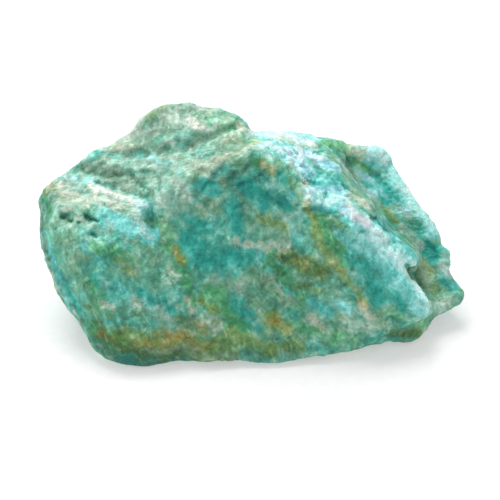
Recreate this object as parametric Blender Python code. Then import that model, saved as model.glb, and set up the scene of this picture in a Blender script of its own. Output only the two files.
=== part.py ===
"""Raw amazonite: one broken lump of green feldspar, about 50 mm long, lying on a cleaved face.

The surface is laid out as two sheets of flat facets, the near side and the far side, which meet along
the rim, the widest line round the stone. A sheet is made of ridges and creases, each a row of corners,
and of loose corners between them. The block is then rounded, roughened where it broke across the
grain, and cleaved flat underneath. Lengths are in millimetres until the last step.
"""

import math

import bmesh
import bpy
from mathutils import Matrix, Vector, noise
from mathutils.geometry import delaunay_2d_cdt, intersect_point_line

MM = 0.001  # metres in a millimetre

# Corners of the near side are laid out on a board that leans back, as (across, up the board, height).
LEAN = math.radians(38.0)

VOXEL = 0.36  # grain of the rounded block
ROUNDING_PASSES = 2
TRIANGLES = 9600
NOISE_SEED = 5
BASE_LEVEL = -0.6  # the block's underside, before it is cleaved at 0

# The rim, from the left corner over the top, down the right end, along the foot and up the left end.
RIM_TOP = [
    (-24.9, 19.2, 14.2), (-24.6, 20.1, 15.0), (-23.9, 20.8, 15.4), (-23.0, 21.3, 15.5),
    (-21.3, 22.2, 16.3), (-20.1, 23.3, 17.4), (-19.0, 24.1, 18.2), (-17.8, 24.8, 18.7),
    (-16.6, 25.1, 18.7), (-16.2, 25.5, 19.2), (-14.5, 26.5, 20.5), (-13.8, 27.2, 21.3),
    (-13.1, 28.0, 22.3), (-12.2, 28.8, 23.2), (-10.8, 29.5, 23.9), (-9.4, 29.9, 24.4),
    (-7.5, 30.1, 24.6), (-6.1, 29.7, 24.4), (-5.5, 29.3, 24.2), (-3.7, 29.2, 24.0),
    (-2.3, 28.8, 23.8), (-1.4, 28.3, 23.3), (-0.7, 27.6, 22.4), (0.0, 26.7, 21.2), (0.7, 26.6, 20.6),
]
RIM_RIGHT = [
    (1.9, 26.8, 20.2), (3.3, 26.8, 19.6), (4.7, 26.8, 19.0), (6.2, 26.6, 18.0), (8.0, 25.9, 16.6),
    (10.9, 25.2, 15.8), (14.4, 24.8, 14.6), (15.9, 24.2, 13.9), (16.6, 23.0, 13.0),
    (17.3, 21.5, 12.2), (18.5, 19.9, 11.4), (19.8, 17.9, 10.3), (21.1, 15.7, 9.1), (22.4, 13.5, 7.7),
    (23.2, 11.9, 6.5), (23.1, 10.7, 5.7), (23.9, 9.4, 4.4), (24.6, 8.3, 3.6), (24.8, 7.2, 2.8),
]
RIM_FOOT = [
    (24.2, 6.4, 2.2), (23.0, 5.7, 1.8), (22.0, 5.2, 1.3), (21.3, 4.8, 1.2), (20.6, 3.5, 1.0),
    (19.7, 2.6, 0.8), (18.3, 2.1, 0.6), (15.6, 2.1, 0.7), (13.8, 2.0, 1.2), (12.4, 1.4, 1.3),
    (10.3, 0.9, 1.2), (7.7, 0.6, 1.0), (5.6, 0.1, 0.8), (3.3, -0.2, 0.6), (0.4, -0.2, 0.7),
    (-2.0, 0.0, 1.0), (-4.3, -0.4, 0.7), (-6.7, -0.1, 0.7), (-8.7, 0.1, 0.8), (-10.2, -0.2, 0.4),
    (-12.5, -0.8, 0.1), (-14.9, -0.6, 0.3), (-17.1, 0.2, 1.0), (-18.3, 1.2, 1.8),
]
RIM_LEFT = [
    (-19.2, 2.9, 3.0), (-20.1, 4.9, 4.2), (-21.8, 6.7, 5.2), (-23.0, 8.7, 6.6), (-23.9, 10.8, 8.0),
    (-24.6, 13.1, 9.6), (-24.9, 15.2, 11.0), (-24.7, 17.3, 12.6), (-25.0, 18.4, 13.4),
]

# Corners where several ridges meet.
APEX = (0.5, 24.5, 23.2)
NOTCH = (-11.8, 18.4, 16.0)
VEIN_HEAD = (6.8, 17.6, 16.8)
LEDGE_TURN = (11.5, 15.7, 15.2)
LIP_END = (20.8, 5.6, 4.8)
LUMP_CORNER = (-12.8, 17.3, 15.2)
LEFT_BROW = (-23.4, 15.0, 12.2)

NEAR_RIDGES = {
    "front brow": [
        NOTCH, (-10.0, 19.4, 17.7), (-7.6, 20.6, 19.2), (-4.7, 22.2, 20.8), (-1.9, 23.5, 22.2), APEX,
    ],
    "right ridge": [
        APEX, (2.3, 23.2, 22.2), (3.7, 22.0, 21.2), (4.8, 21.0, 20.2), (5.6, 19.7, 18.9), VEIN_HEAD,
    ],
    "vein ridge": [
        VEIN_HEAD, (7.5, 15.7, 15.6), (8.4, 13.1, 13.5), (10.1, 10.5, 11.2), (11.5, 8.7, 9.6),
        (13.0, 6.6, 7.6), (14.1, 4.7, 5.6),
    ],
    "ledge foot": [VEIN_HEAD, (9.1, 16.5, 16.0), LEDGE_TURN, (13.3, 15.1, 14.2)],
    "lower ridge": [
        LEDGE_TURN, (12.1, 13.5, 13.0), (12.9, 11.5, 11.2), (14.4, 8.9, 8.9), (16.2, 6.3, 6.7),
        (17.8, 4.6, 4.6),
    ],
    "step edge": [
        (8.0, 25.1, 16.8), (8.9, 24.4, 17.2), (10.0, 23.4, 17.2), (10.3, 22.2, 17.0),
        (11.2, 20.8, 16.8), (12.2, 19.7, 16.6), (13.5, 18.6, 16.2), (14.1, 17.4, 15.3),
        (15.0, 16.6, 14.3), (15.7, 15.3, 13.0), (16.5, 14.5, 12.3), (17.4, 13.6, 11.5),
        (18.4, 12.9, 11.0), (19.1, 11.9, 10.1), (18.6, 11.0, 9.3), (18.2, 10.2, 8.6),
        (18.4, 9.3, 8.0), (19.2, 8.5, 7.5), (19.8, 7.5, 6.5), (20.5, 6.3, 5.4), LIP_END,
    ],
    "lip": [
        LIP_END, (19.7, 5.0, 4.4), (18.3, 4.4, 4.0), (16.7, 3.9, 3.4), (15.3, 3.2, 2.6),
        (14.1, 2.2, 1.6),
    ],
    "step foot": [
        (10.7, 23.8, 14.6), (11.1, 22.5, 13.7), (11.9, 21.2, 12.8), (12.9, 20.1, 12.2),
        (14.1, 19.1, 11.6), (14.8, 17.8, 10.7), (15.7, 16.9, 10.0), (16.5, 15.7, 9.1),
        (17.3, 14.9, 8.6), (18.3, 14.1, 8.0), (19.2, 13.2, 7.4), (19.8, 11.9, 6.2),
        (19.3, 10.9, 5.4), (18.9, 10.0, 4.8), (19.2, 9.4, 4.6), (20.0, 8.5, 4.4),
        (20.6, 7.5, 4.0), (21.2, 6.4, 3.4), (21.5, 5.6, 2.8),
    ],
    "lobe": [(15.7, 2.8, 1.5), (17.0, 3.4, 2.0), (18.4, 4.0, 2.3), (19.8, 4.6, 2.6), (21.2, 5.2, 2.6)],
    "bench back": [
        (-21.3, 21.9, 15.9), (-19.7, 21.3, 16.0), (-18.0, 20.8, 16.1), (-16.4, 20.1, 16.1),
        (-14.5, 19.7, 16.2), (-12.9, 19.2, 16.0), NOTCH,
    ],
    "bench front": [
        (-24.0, 17.9, 13.9), (-22.5, 17.8, 14.9), (-20.4, 17.3, 15.0), (-18.4, 17.3, 15.2),
        (-16.4, 17.4, 15.4), (-14.3, 17.6, 15.5), LUMP_CORNER,
    ],
    "lump brow": [
        LEFT_BROW, (-21.8, 14.1, 12.6), (-19.6, 13.6, 13.1), (-17.2, 13.3, 13.2),
        (-14.9, 13.1, 12.9), (-12.9, 13.5, 12.8),
    ],
    "notch crease": [NOTCH, (-11.7, 17.2, 14.3), (-11.8, 16.0, 13.3), (-11.5, 14.5, 12.5), (-11.0, 12.9, 11.6)],
    "notch left": [LUMP_CORNER, (-12.3, 15.7, 14.0), (-12.2, 14.3, 13.0)],
    "notch right": [(-10.8, 18.0, 15.9), (-10.4, 16.2, 14.5), (-10.1, 14.1, 12.9)],
    "shaded facet": [(-15.7, 24.2, 18.5), (-14.8, 23.1, 17.9), (-13.9, 21.5, 17.2), (-13.0, 20.1, 16.6), NOTCH],
    "boulder foot": [
        (-15.0, 24.8, 19.3), (-13.1, 24.5, 19.5), (-11.0, 24.6, 20.3), (-9.0, 24.8, 20.8),
        (-7.3, 25.1, 21.1), (-5.5, 25.9, 21.8), (-3.5, 26.7, 22.4), (-1.9, 27.5, 22.9),
    ],
    "boulder edge": [(-7.7, 26.0, 22.1), (-6.1, 26.6, 22.7), (-4.0, 27.3, 23.2), (-2.3, 28.1, 23.7)],
    "left edge": [LEFT_BROW, (-22.5, 12.3, 10.4), (-21.3, 9.4, 8.4), (-20.1, 6.7, 6.4), (-19.0, 4.1, 4.2)],
}
NEAR_CORNERS = [
    # middle slope, under the boulder
    (-11.9, 23.1, 18.9), (-9.0, 23.1, 20.0), (-6.1, 23.9, 21.0), (-9.9, 21.6, 18.9), (-12.2, 21.2, 17.4),
    # wedge left of the apex
    (0.0, 25.8, 22.3), (-1.4, 26.2, 22.6),
    # broken slope, right of the apex
    (2.7, 24.9, 20.8), (4.7, 23.4, 19.9), (5.6, 24.8, 18.9), (6.8, 22.2, 18.4), (8.2, 20.5, 17.6),
    (9.5, 22.0, 17.4), (7.7, 18.7, 17.4), (10.9, 18.2, 16.7), (12.6, 17.0, 15.9),
    # facet above the lip
    (14.4, 14.1, 13.2), (16.4, 11.9, 11.2), (17.1, 9.4, 9.3), (18.3, 7.0, 7.2),
    # terrace along the right end
    (13.2, 23.4, 13.4), (14.6, 21.6, 12.0), (15.8, 19.6, 11.0), (17.4, 17.4, 9.9), (18.8, 15.8, 8.8),
    (20.6, 13.1, 7.1), (21.4, 10.0, 4.9), (23.0, 7.8, 3.8), (22.6, 6.6, 3.4), (24.2, 7.4, 3.8),
    # front face
    (-17.8, 7.0, 7.9), (-15.6, 2.4, 4.1), (-12.0, 1.6, 3.3), (-10.8, 8.2, 8.6), (-7.3, 3.5, 4.5), (-6.1, 14.1, 13.2),
    (-2.6, 9.4, 9.6), (-0.2, 18.7, 17.8), (0.9, 3.5, 4.0), (3.3, 10.5, 10.6), (6.8, 4.7, 4.8),
    (10.9, 4.1, 4.2),
]

# The far side, as plain x, y, z.
FAR_RIDGES = {
    "back shoulder": [
        (-13.5, 20.0, 17.2), (-9.0, 21.8, 18.4), (-4.5, 22.4, 18.4), (-1.0, 22.4, 15.6), (3.0, 22.8, 14.8),
        (8.0, 23.2, 12.4), (14.0, 23.4, 10.2),
    ],
    "back brow": [
        (-21.5, 19.5, 8.5), (-17.0, 22.4, 10.6), (-12.5, 25.6, 10.2), (-8.0, 26.0, 12.4), (-3.0, 27.6, 10.4),
        (2.0, 27.0, 10.9), (6.5, 27.8, 8.4), (11.0, 26.4, 8.6), (15.5, 25.2, 5.6), (20.0, 20.0, 4.6),
    ],
    "back spall": [(-6.5, 26.6, 9.6), (-5.0, 27.0, 5.5), (-8.5, 25.6, 2.8)],
}
FAR_CORNERS = [(-23.0, 14.0, 9.0), (-14.0, 24.4, 5.5), (1.5, 27.2, 5.0), (9.5, 26.2, 4.2)]
BASE_OUTLINE = [
    (-17.0, 2.6), (-9.5, 1.2), (1.5, 1.2), (10.5, 3.8), (17.2, 6.0), (20.8, 9.5), (20.5, 14.0),
    (16.0, 21.5), (8.0, 25.0), (-2.0, 25.5), (-11.0, 23.0), (-18.0, 18.5), (-21.0, 12.5),
    (-20.0, 10.0), (-18.5, 5.5),
]

STONE_GREEN = (0.20, 0.52, 0.44, 1.0)
STONE_ROUGHNESS = 0.55

# Where the surface broke in a special way: a line through the zone, from corner to corner as above,
# and its reach.
BROKEN_SLOPE = ((3.0, 24.6, 21.0), (16.0, 16.0, 14.0), 4.6)
TERRACE = ((12.5, 22.5, 14.5), (21.5, 8.5, 5.0), 4.0)
BENCH = ((-22.0, 19.6, 15.4), (-13.5, 18.6, 15.8), 3.6)
MIDDLE_SLOPE = ((-14.0, 22.5, 18.0), (-3.5, 25.0, 21.8), 4.2)
BOULDER = ((-12.5, 26.5, 21.5), (-4.0, 28.3, 23.6), 3.5)
FRONT_FACE = ((-14.0, 8.0, 8.0), (8.0, 10.0, 10.0), 11.0)
FAR_SIDE = ((-14.0, 22.6, 9.6), (14.0, 21.0, 7.0), 12.0)

# Pits and crevices: the centre, as a corner above, the radius and the depth.
PITS = [
    ((-21.6, 16.6, 14.3), 1.0, 0.55),
    ((-19.0, 16.5, 14.6), 1.1, 0.65),
    ((-18.4, 14.6, 13.7), 0.7, 0.35),
    ((18.4, 10.2, 7.6), 1.5, 1.0),
]

GRAIN_LEAN = Vector((-0.42, -0.30, 0.86)).normalized()  # across the layers of the crystal


def corner(across, up, height):
    """The place of a corner that stands at (across, up) on the leaning board, at this height."""
    return Vector((across, (up - height * math.cos(LEAN)) / math.sin(LEAN), height))


def on_board(place):
    """Where a place falls on the leaning board: across and up."""
    return Vector((place.x, place.y * math.sin(LEAN) + place.z * math.cos(LEAN)))


def sheet(rim, lines, loose):
    """Facets that fill the rim and keep every line as an edge: their corners, and triples of indices."""
    places = list(rim)
    edges = [(i, (i + 1) % len(rim)) for i in range(len(rim))]
    for line in lines:
        first = len(places)
        places += line
        edges += [(i, i + 1) for i in range(first, first + len(line) - 1)]
    places += loose
    flat = [on_board(p) for p in places]
    outline = list(range(len(rim)))
    _, _, facets, from_corner, _, _ = delaunay_2d_cdt(flat, edges, [outline], 1, 1e-4)
    return places, [[from_corner[i][0] for i in facet] for facet in facets]


def block():
    """The closed block of flat facets, as a mesh."""
    rim = [corner(*c) for c in RIM_TOP + RIM_RIGHT + RIM_FOOT + RIM_LEFT]
    near_lines = [[corner(*c) for c in line] for line in NEAR_RIDGES.values()]
    near = sheet(rim, near_lines, [corner(*c) for c in NEAR_CORNERS])
    base = [Vector((x, y, BASE_LEVEL)) for x, y in BASE_OUTLINE]
    far_lines = [[Vector(c) for c in line] for line in FAR_RIDGES.values()]
    far = sheet(rim, far_lines + [base + base[:1]], [Vector(c) for c in FAR_CORNERS])
    bm = bmesh.new()
    for places, facets in (near, far):
        corners = [bm.verts.new(p) for p in places]
        for facet in facets:
            bm.faces.new([corners[i] for i in facet])
    bmesh.ops.remove_doubles(bm, verts=bm.verts, dist=1e-4)
    bmesh.ops.recalc_face_normals(bm, faces=bm.faces)
    mesh = bpy.data.meshes.new("block")
    bm.to_mesh(mesh)
    bm.free()
    return mesh


def after_modifiers(mesh, modifiers):
    """A new mesh: the old one after these modifiers, each a type and its settings."""
    helper = bpy.data.objects.new("helper", mesh)
    bpy.context.scene.collection.objects.link(helper)
    for kind, settings in modifiers:
        modifier = helper.modifiers.new(kind.lower(), kind)
        for name, value in settings.items():
            setattr(modifier, name, value)
    graph = bpy.context.evaluated_depsgraph_get()
    made = bpy.data.meshes.new_from_object(helper.evaluated_get(graph))
    bpy.data.objects.remove(helper)
    bpy.data.meshes.remove(mesh)
    return made


def within(place, start, end, reach):
    """1 on the line from start to end, falling smoothly to 0 at its reach."""
    nearest, share = intersect_point_line(place, start, end)
    if share < 0:
        nearest = start
    elif share > 1:
        nearest = end
    closeness = max(0.0, 1.0 - (place - nearest).length / reach)
    return closeness * closeness * (3.0 - 2.0 * closeness)


def zone(place, marked):
    """How far inside a marked zone this place is, from 0 to 1."""
    start, end, reach = marked
    return within(place, corner(*start), corner(*end), reach)


def pit(place, centre, radius):
    """1 in the middle of a ragged pit, falling to 0 at its edge."""
    away = (place - corner(*centre)).length / radius + 0.5 * swell(place, 1.6, 2)
    return min(1.0, max(0.0, 1.6 - 1.6 * away))


def swell(place, size, octaves=3):
    """Smooth noise about 0, with lumps of this size."""
    return noise.fractal(place / size, 1.0, 2.0, octaves)


def splinter(place, size):
    """Broken facets of this size: each cell is tilted its own way and stands at its own height."""
    _, centres = noise.voronoi(place / size)
    centre = centres[0]
    tilt = noise.noise_vector(centre * 7.31)
    return tilt.dot(place / size - centre) + 0.5 * noise.noise(centre * 5.17)


def layers(place, thickness):
    """Worn steps where the crystal parted between layers of this thickness."""
    level = place.dot(GRAIN_LEAN) / thickness + 0.8 * swell(place, 6.0, 2)
    step = level - math.floor(level)
    rise = min(1.0, step / 0.3)
    return rise - step


def relief(place):
    """How far the surface stands out here, over the rounded block."""
    height = 0.20 * swell(place, 7.0)
    height += 0.12 * splinter(place, 3.0)
    height += 0.85 * zone(place, BROKEN_SLOPE) * splinter(place, 3.1)
    height += 0.40 * zone(place, TERRACE) * splinter(place, 3.6)
    height += 0.30 * zone(place, BENCH) * splinter(place, 2.4)
    height += 0.45 * zone(place, MIDDLE_SLOPE) * layers(place, 1.6)
    height += 0.35 * zone(place, BOULDER) * splinter(place, 3.2)
    height += 0.22 * zone(place, FRONT_FACE) * splinter(place, 5.0)
    height += 0.85 * zone(place, FAR_SIDE) * splinter(place, 5.5)
    for centre, radius, depth in PITS:
        height -= depth * pit(place, centre, radius)
    return height


def roughened(mesh):
    """The mesh with its relief raised along its normals."""
    normals = [v.normal.copy() for v in mesh.vertices]
    for vertex, normal in zip(mesh.vertices, normals):
        vertex.co += normal * relief(vertex.co)
    mesh.update()
    return mesh


def cleaved_flat(mesh):
    """The mesh cut flat at height 0, where the stone parted along its layers and now rests."""
    bm = bmesh.new()
    bm.from_mesh(mesh)
    everything = bm.verts[:] + bm.edges[:] + bm.faces[:]
    bmesh.ops.bisect_plane(
        bm, geom=everything, plane_co=(0, 0, 0), plane_no=(0, 0, 1), clear_inner=True, dist=1e-4
    )
    rim = [e for e in bm.edges if e.is_boundary]
    bmesh.ops.holes_fill(bm, edges=rim, sides=0)
    bm.to_mesh(mesh)
    bm.free()
    return mesh


def centred(mesh):
    """The mesh moved so that the middle of its bounding box is over the origin."""
    xs = [v.co.x for v in mesh.vertices]
    ys = [v.co.y for v in mesh.vertices]
    mesh.transform(Matrix.Translation((-(min(xs) + max(xs)) / 2, -(min(ys) + max(ys)) / 2, 0)))
    return mesh


def feldspar():
    """The stone's plain finish: dull blue-green."""
    material = bpy.data.materials.new("amazonite")
    material.use_nodes = True
    shader = material.node_tree.nodes["Principled BSDF"]
    shader.inputs["Base Color"].default_value = STONE_GREEN
    shader.inputs["Roughness"].default_value = STONE_ROUGHNESS
    shader.inputs["Metallic"].default_value = 0.0
    material.diffuse_color = STONE_GREEN
    return material


def main():
    for old in list(bpy.data.objects):
        bpy.data.objects.remove(old)
    noise.seed_set(NOISE_SEED)
    rounding = {"factor": 0.5, "iterations": ROUNDING_PASSES}
    solid = {"mode": "VOXEL", "voxel_size": VOXEL}
    rounded = after_modifiers(block(), [("REMESH", solid), ("SMOOTH", rounding)])
    rough = roughened(rounded)
    share = TRIANGLES / (2.0 * len(rough.polygons))
    thinned = after_modifiers(rough, [("SMOOTH", {"factor": 0.5, "iterations": 1}), ("DECIMATE", {"ratio": share, "use_collapse_triangulate": True})])
    mesh = centred(cleaved_flat(thinned))
    mesh.transform(Matrix.Scale(MM, 4))
    mesh.name = "amazonite"
    mesh.shade_flat()
    mesh.materials.append(feldspar())
    stone = bpy.data.objects.new("amazonite", mesh)
    bpy.context.scene.collection.objects.link(stone)


main()
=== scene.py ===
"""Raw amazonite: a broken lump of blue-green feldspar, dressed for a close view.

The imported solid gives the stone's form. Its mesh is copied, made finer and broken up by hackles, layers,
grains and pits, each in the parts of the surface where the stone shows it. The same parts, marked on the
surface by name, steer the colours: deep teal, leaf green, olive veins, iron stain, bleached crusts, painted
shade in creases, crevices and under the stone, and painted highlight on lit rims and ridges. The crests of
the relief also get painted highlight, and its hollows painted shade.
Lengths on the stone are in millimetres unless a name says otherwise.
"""

import logging
import math
from collections.abc import Callable, Iterable
from dataclasses import dataclass, field
from enum import Enum
from typing import Any

import bpy
import numpy as np
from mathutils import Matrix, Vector, noise
from mathutils.bvhtree import BVHTree


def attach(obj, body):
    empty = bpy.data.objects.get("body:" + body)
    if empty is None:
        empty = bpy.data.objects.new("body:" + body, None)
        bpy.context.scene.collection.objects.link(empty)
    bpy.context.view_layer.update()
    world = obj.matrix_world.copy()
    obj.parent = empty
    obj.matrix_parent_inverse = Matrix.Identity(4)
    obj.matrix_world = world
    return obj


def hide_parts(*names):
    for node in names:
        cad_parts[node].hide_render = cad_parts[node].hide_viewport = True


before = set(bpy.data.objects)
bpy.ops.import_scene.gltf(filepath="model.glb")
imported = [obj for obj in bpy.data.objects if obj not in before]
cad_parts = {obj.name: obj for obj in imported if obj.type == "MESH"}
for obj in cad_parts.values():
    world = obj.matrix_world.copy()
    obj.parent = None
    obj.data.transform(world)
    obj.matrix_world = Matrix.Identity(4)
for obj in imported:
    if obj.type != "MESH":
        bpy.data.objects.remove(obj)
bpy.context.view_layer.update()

LOG = logging.getLogger("amazonite")
NODE = "amazonite"
PIECE = "raw_amazonite"
MM = 0.001  # metres in a millimetre
NOISE_SEED = 11
TINY = 1e-9  # keeps a division by a length from failing

FLOAT = "NodeSocketFloat"
VECTOR = "NodeSocketVector"
COLOR = "NodeSocketColor"

# A mix node has one set of sockets for values and another for colours.
MIX_SHARE = 0
MIX_VALUES = (2, 3)
MIX_VALUE_OUT = 0
MIX_COLORS = (6, 7)
MIX_COLOR_OUT = 2

Color = tuple[float, float, float]
Triple = tuple[float, float, float]
Spot = tuple[float, float]


class Layer(Enum):
    """What can be marked on the surface, each kept as one value for each point of the mesh."""

    HACKLE = "hackle"
    BENCH = "bench"
    SHELVES = "shelves"
    SWELL = "swell"
    RIDGE = "ridge"
    GROOVE = "groove"
    PIT = "pit"
    # bleached crust, and painted highlight on lit rims, ridges, ledges and the bench
    PALE = "pale"
    # deep colour, and painted shade in creases, crevices, hollows and under the stone
    DEEP = "deep"
    TEAL = "teal"
    LEAF = "leaf"
    OLIVE = "olive"
    SKY = "sky"
    ICE = "ice"
    WORN = "worn"
    DUST = "dust"
    CREAM = "cream"
    RUST = "rust"
    # painted highlight on the crests of the relief, and painted shade in its hollows
    CREST_HIGHLIGHT = "crest"
    HOLLOW_SHADE = "hollow"


SHARP_LAYERS = (Layer.RIDGE, Layer.GROOVE, Layer.PIT)


def shade(red: int, green: int, blue: int) -> Color:
    """A colour as light, from the numbers of a screen colour, by the usual screen curve.

    Args:
        red: From 0 to 255.
        green: From 0 to 255.
        blue: From 0 to 255.

    Returns:
        The three values in linear light.
    """
    parts = (c / 255.0 for c in (red, green, blue))
    return tuple(c / 12.92 if c <= 0.04045 else ((c + 0.055) / 1.055) ** 2.4 for c in parts)


@dataclass(frozen=True)
class Mark:
    """A named part of the surface, along a path of spots of the front view, where a layer shows.

    Attributes:
        name: What it is.
        path: Its spots, as (right, down) in the view's own squares; a single one for a round mark.
        reach: How far the mark goes from its path, in millimetres.
        strength: The value on the path.
    """

    name: str
    path: tuple[Spot, ...]
    reach: float
    strength: float = 1.0

    def distance(self, spots: list[np.ndarray], places: np.ndarray) -> np.ndarray:
        """How far each place is from the path.

        Args:
            spots: The path's points on the stone.
            places: The places.

        Returns:
            The distances, in the units of the places.
        """
        nearest = np.linalg.norm(places - spots[0], axis=1)
        for start, end in zip(spots, spots[1:]):
            along = end - start
            share = np.clip((places - start) @ along / max(along @ along, TINY), 0.0, 1.0)
            nearest = np.minimum(nearest, np.linalg.norm(places - start - share[:, None] * along, axis=1))
        return nearest


@dataclass(frozen=True)
class Drift:
    """A layer that shows here and there on the faces that look away from the front.

    Attributes:
        name: What it is.
        layer: The layer.
        size: How far apart its patches are, in millimetres.
        level: How rare they are.
        strength: The value in a patch.
        turned: How far from the front a face has turned where the layer starts.
    """

    name: str
    layer: Layer
    size: float
    level: float
    strength: float
    turned: float = 0.15


@dataclass(frozen=True)
class Viewfinder:
    """The camera: where it stands, and which point of the stone a spot of its picture is.

    Attributes:
        side: Squares along each side of the picture.
        square: What one square covers at the stone, in millimetres.
        elevation: How far the camera looks down, in degrees.
        lens: Focal length in millimetres.
        film: Width of the film in millimetres.
        aim: How far right and up the middle of the picture is from the origin, in millimetres.
        aim_height: The middle's height above the floor, in millimetres.
        pull: How far a spot beside the stone is pulled to the middle at each try, as a share of its way.
        tries: How often it is pulled.
    """

    side: int = 500
    square: float = 0.1171
    elevation: float = 38.0
    lens: float = 400.0
    film: float = 36.0
    aim: Spot = (-0.09, 4.80)
    aim_height: float = 7.5
    pull: float = 0.02
    tries: int = 20

    @property
    def lean(self) -> float:
        """How far the camera looks down, in radians."""
        return math.radians(self.elevation)

    @property
    def back(self) -> Vector:
        """The direction from the stone to the camera."""
        return Vector((0.0, -math.cos(self.lean), math.sin(self.lean)))

    @property
    def up(self) -> Vector:
        """The direction that is up in the picture."""
        return Vector((0.0, math.sin(self.lean), math.cos(self.lean)))

    @property
    def middle(self) -> Vector:
        """The point in the middle of the picture.

        Returns:
            The point, in metres.
        """
        across, up = self.aim
        depth = (up - self.aim_height * math.cos(self.lean)) / math.sin(self.lean)
        return Vector((across, depth, self.aim_height)) * MM

    @property
    def distance(self) -> float:
        """How far the camera stands from the middle, in metres."""
        return self.side * self.square * MM * self.lens / self.film

    def place_camera(self) -> None:
        """Makes the camera and gives it to the scene."""
        data = bpy.data.cameras.new("camera")
        data.lens = self.lens
        data.sensor_width = self.film
        data.clip_start = 0.01
        data.clip_end = 20.0
        camera = bpy.data.objects.new("camera", data)
        bpy.context.scene.collection.objects.link(camera)
        camera.location = self.middle + self.back * self.distance
        camera.rotation_mode = "QUATERNION"
        camera.rotation_quaternion = (-self.back).to_track_quat("-Z", "Y")
        bpy.context.scene.camera = camera

    def find(self, tree: BVHTree, spot: Spot) -> Vector:
        """The point of the stone at a spot of the picture.

        Args:
            tree: The stone's surface, in metres.
            spot: The spot, as (right, down) in squares.

        Returns:
            The point in millimetres. A spot beside the stone gives the nearest point towards the middle.
        """
        half = self.side / 2.0
        eye = self.middle + self.back * self.distance
        for pulled in range(self.tries):
            keep = 1.0 - self.pull * pulled
            right = (spot[0] - half) * keep * self.square * MM
            rise = (half - spot[1]) * keep * self.square * MM
            target = self.middle + Vector((1.0, 0.0, 0.0)) * right + self.up * rise
            hit, _, _, _ = tree.ray_cast(eye, (target - eye).normalized())
            if hit is not None:
                return hit / MM
        raise ValueError(f"no stone at {spot}")


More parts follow.
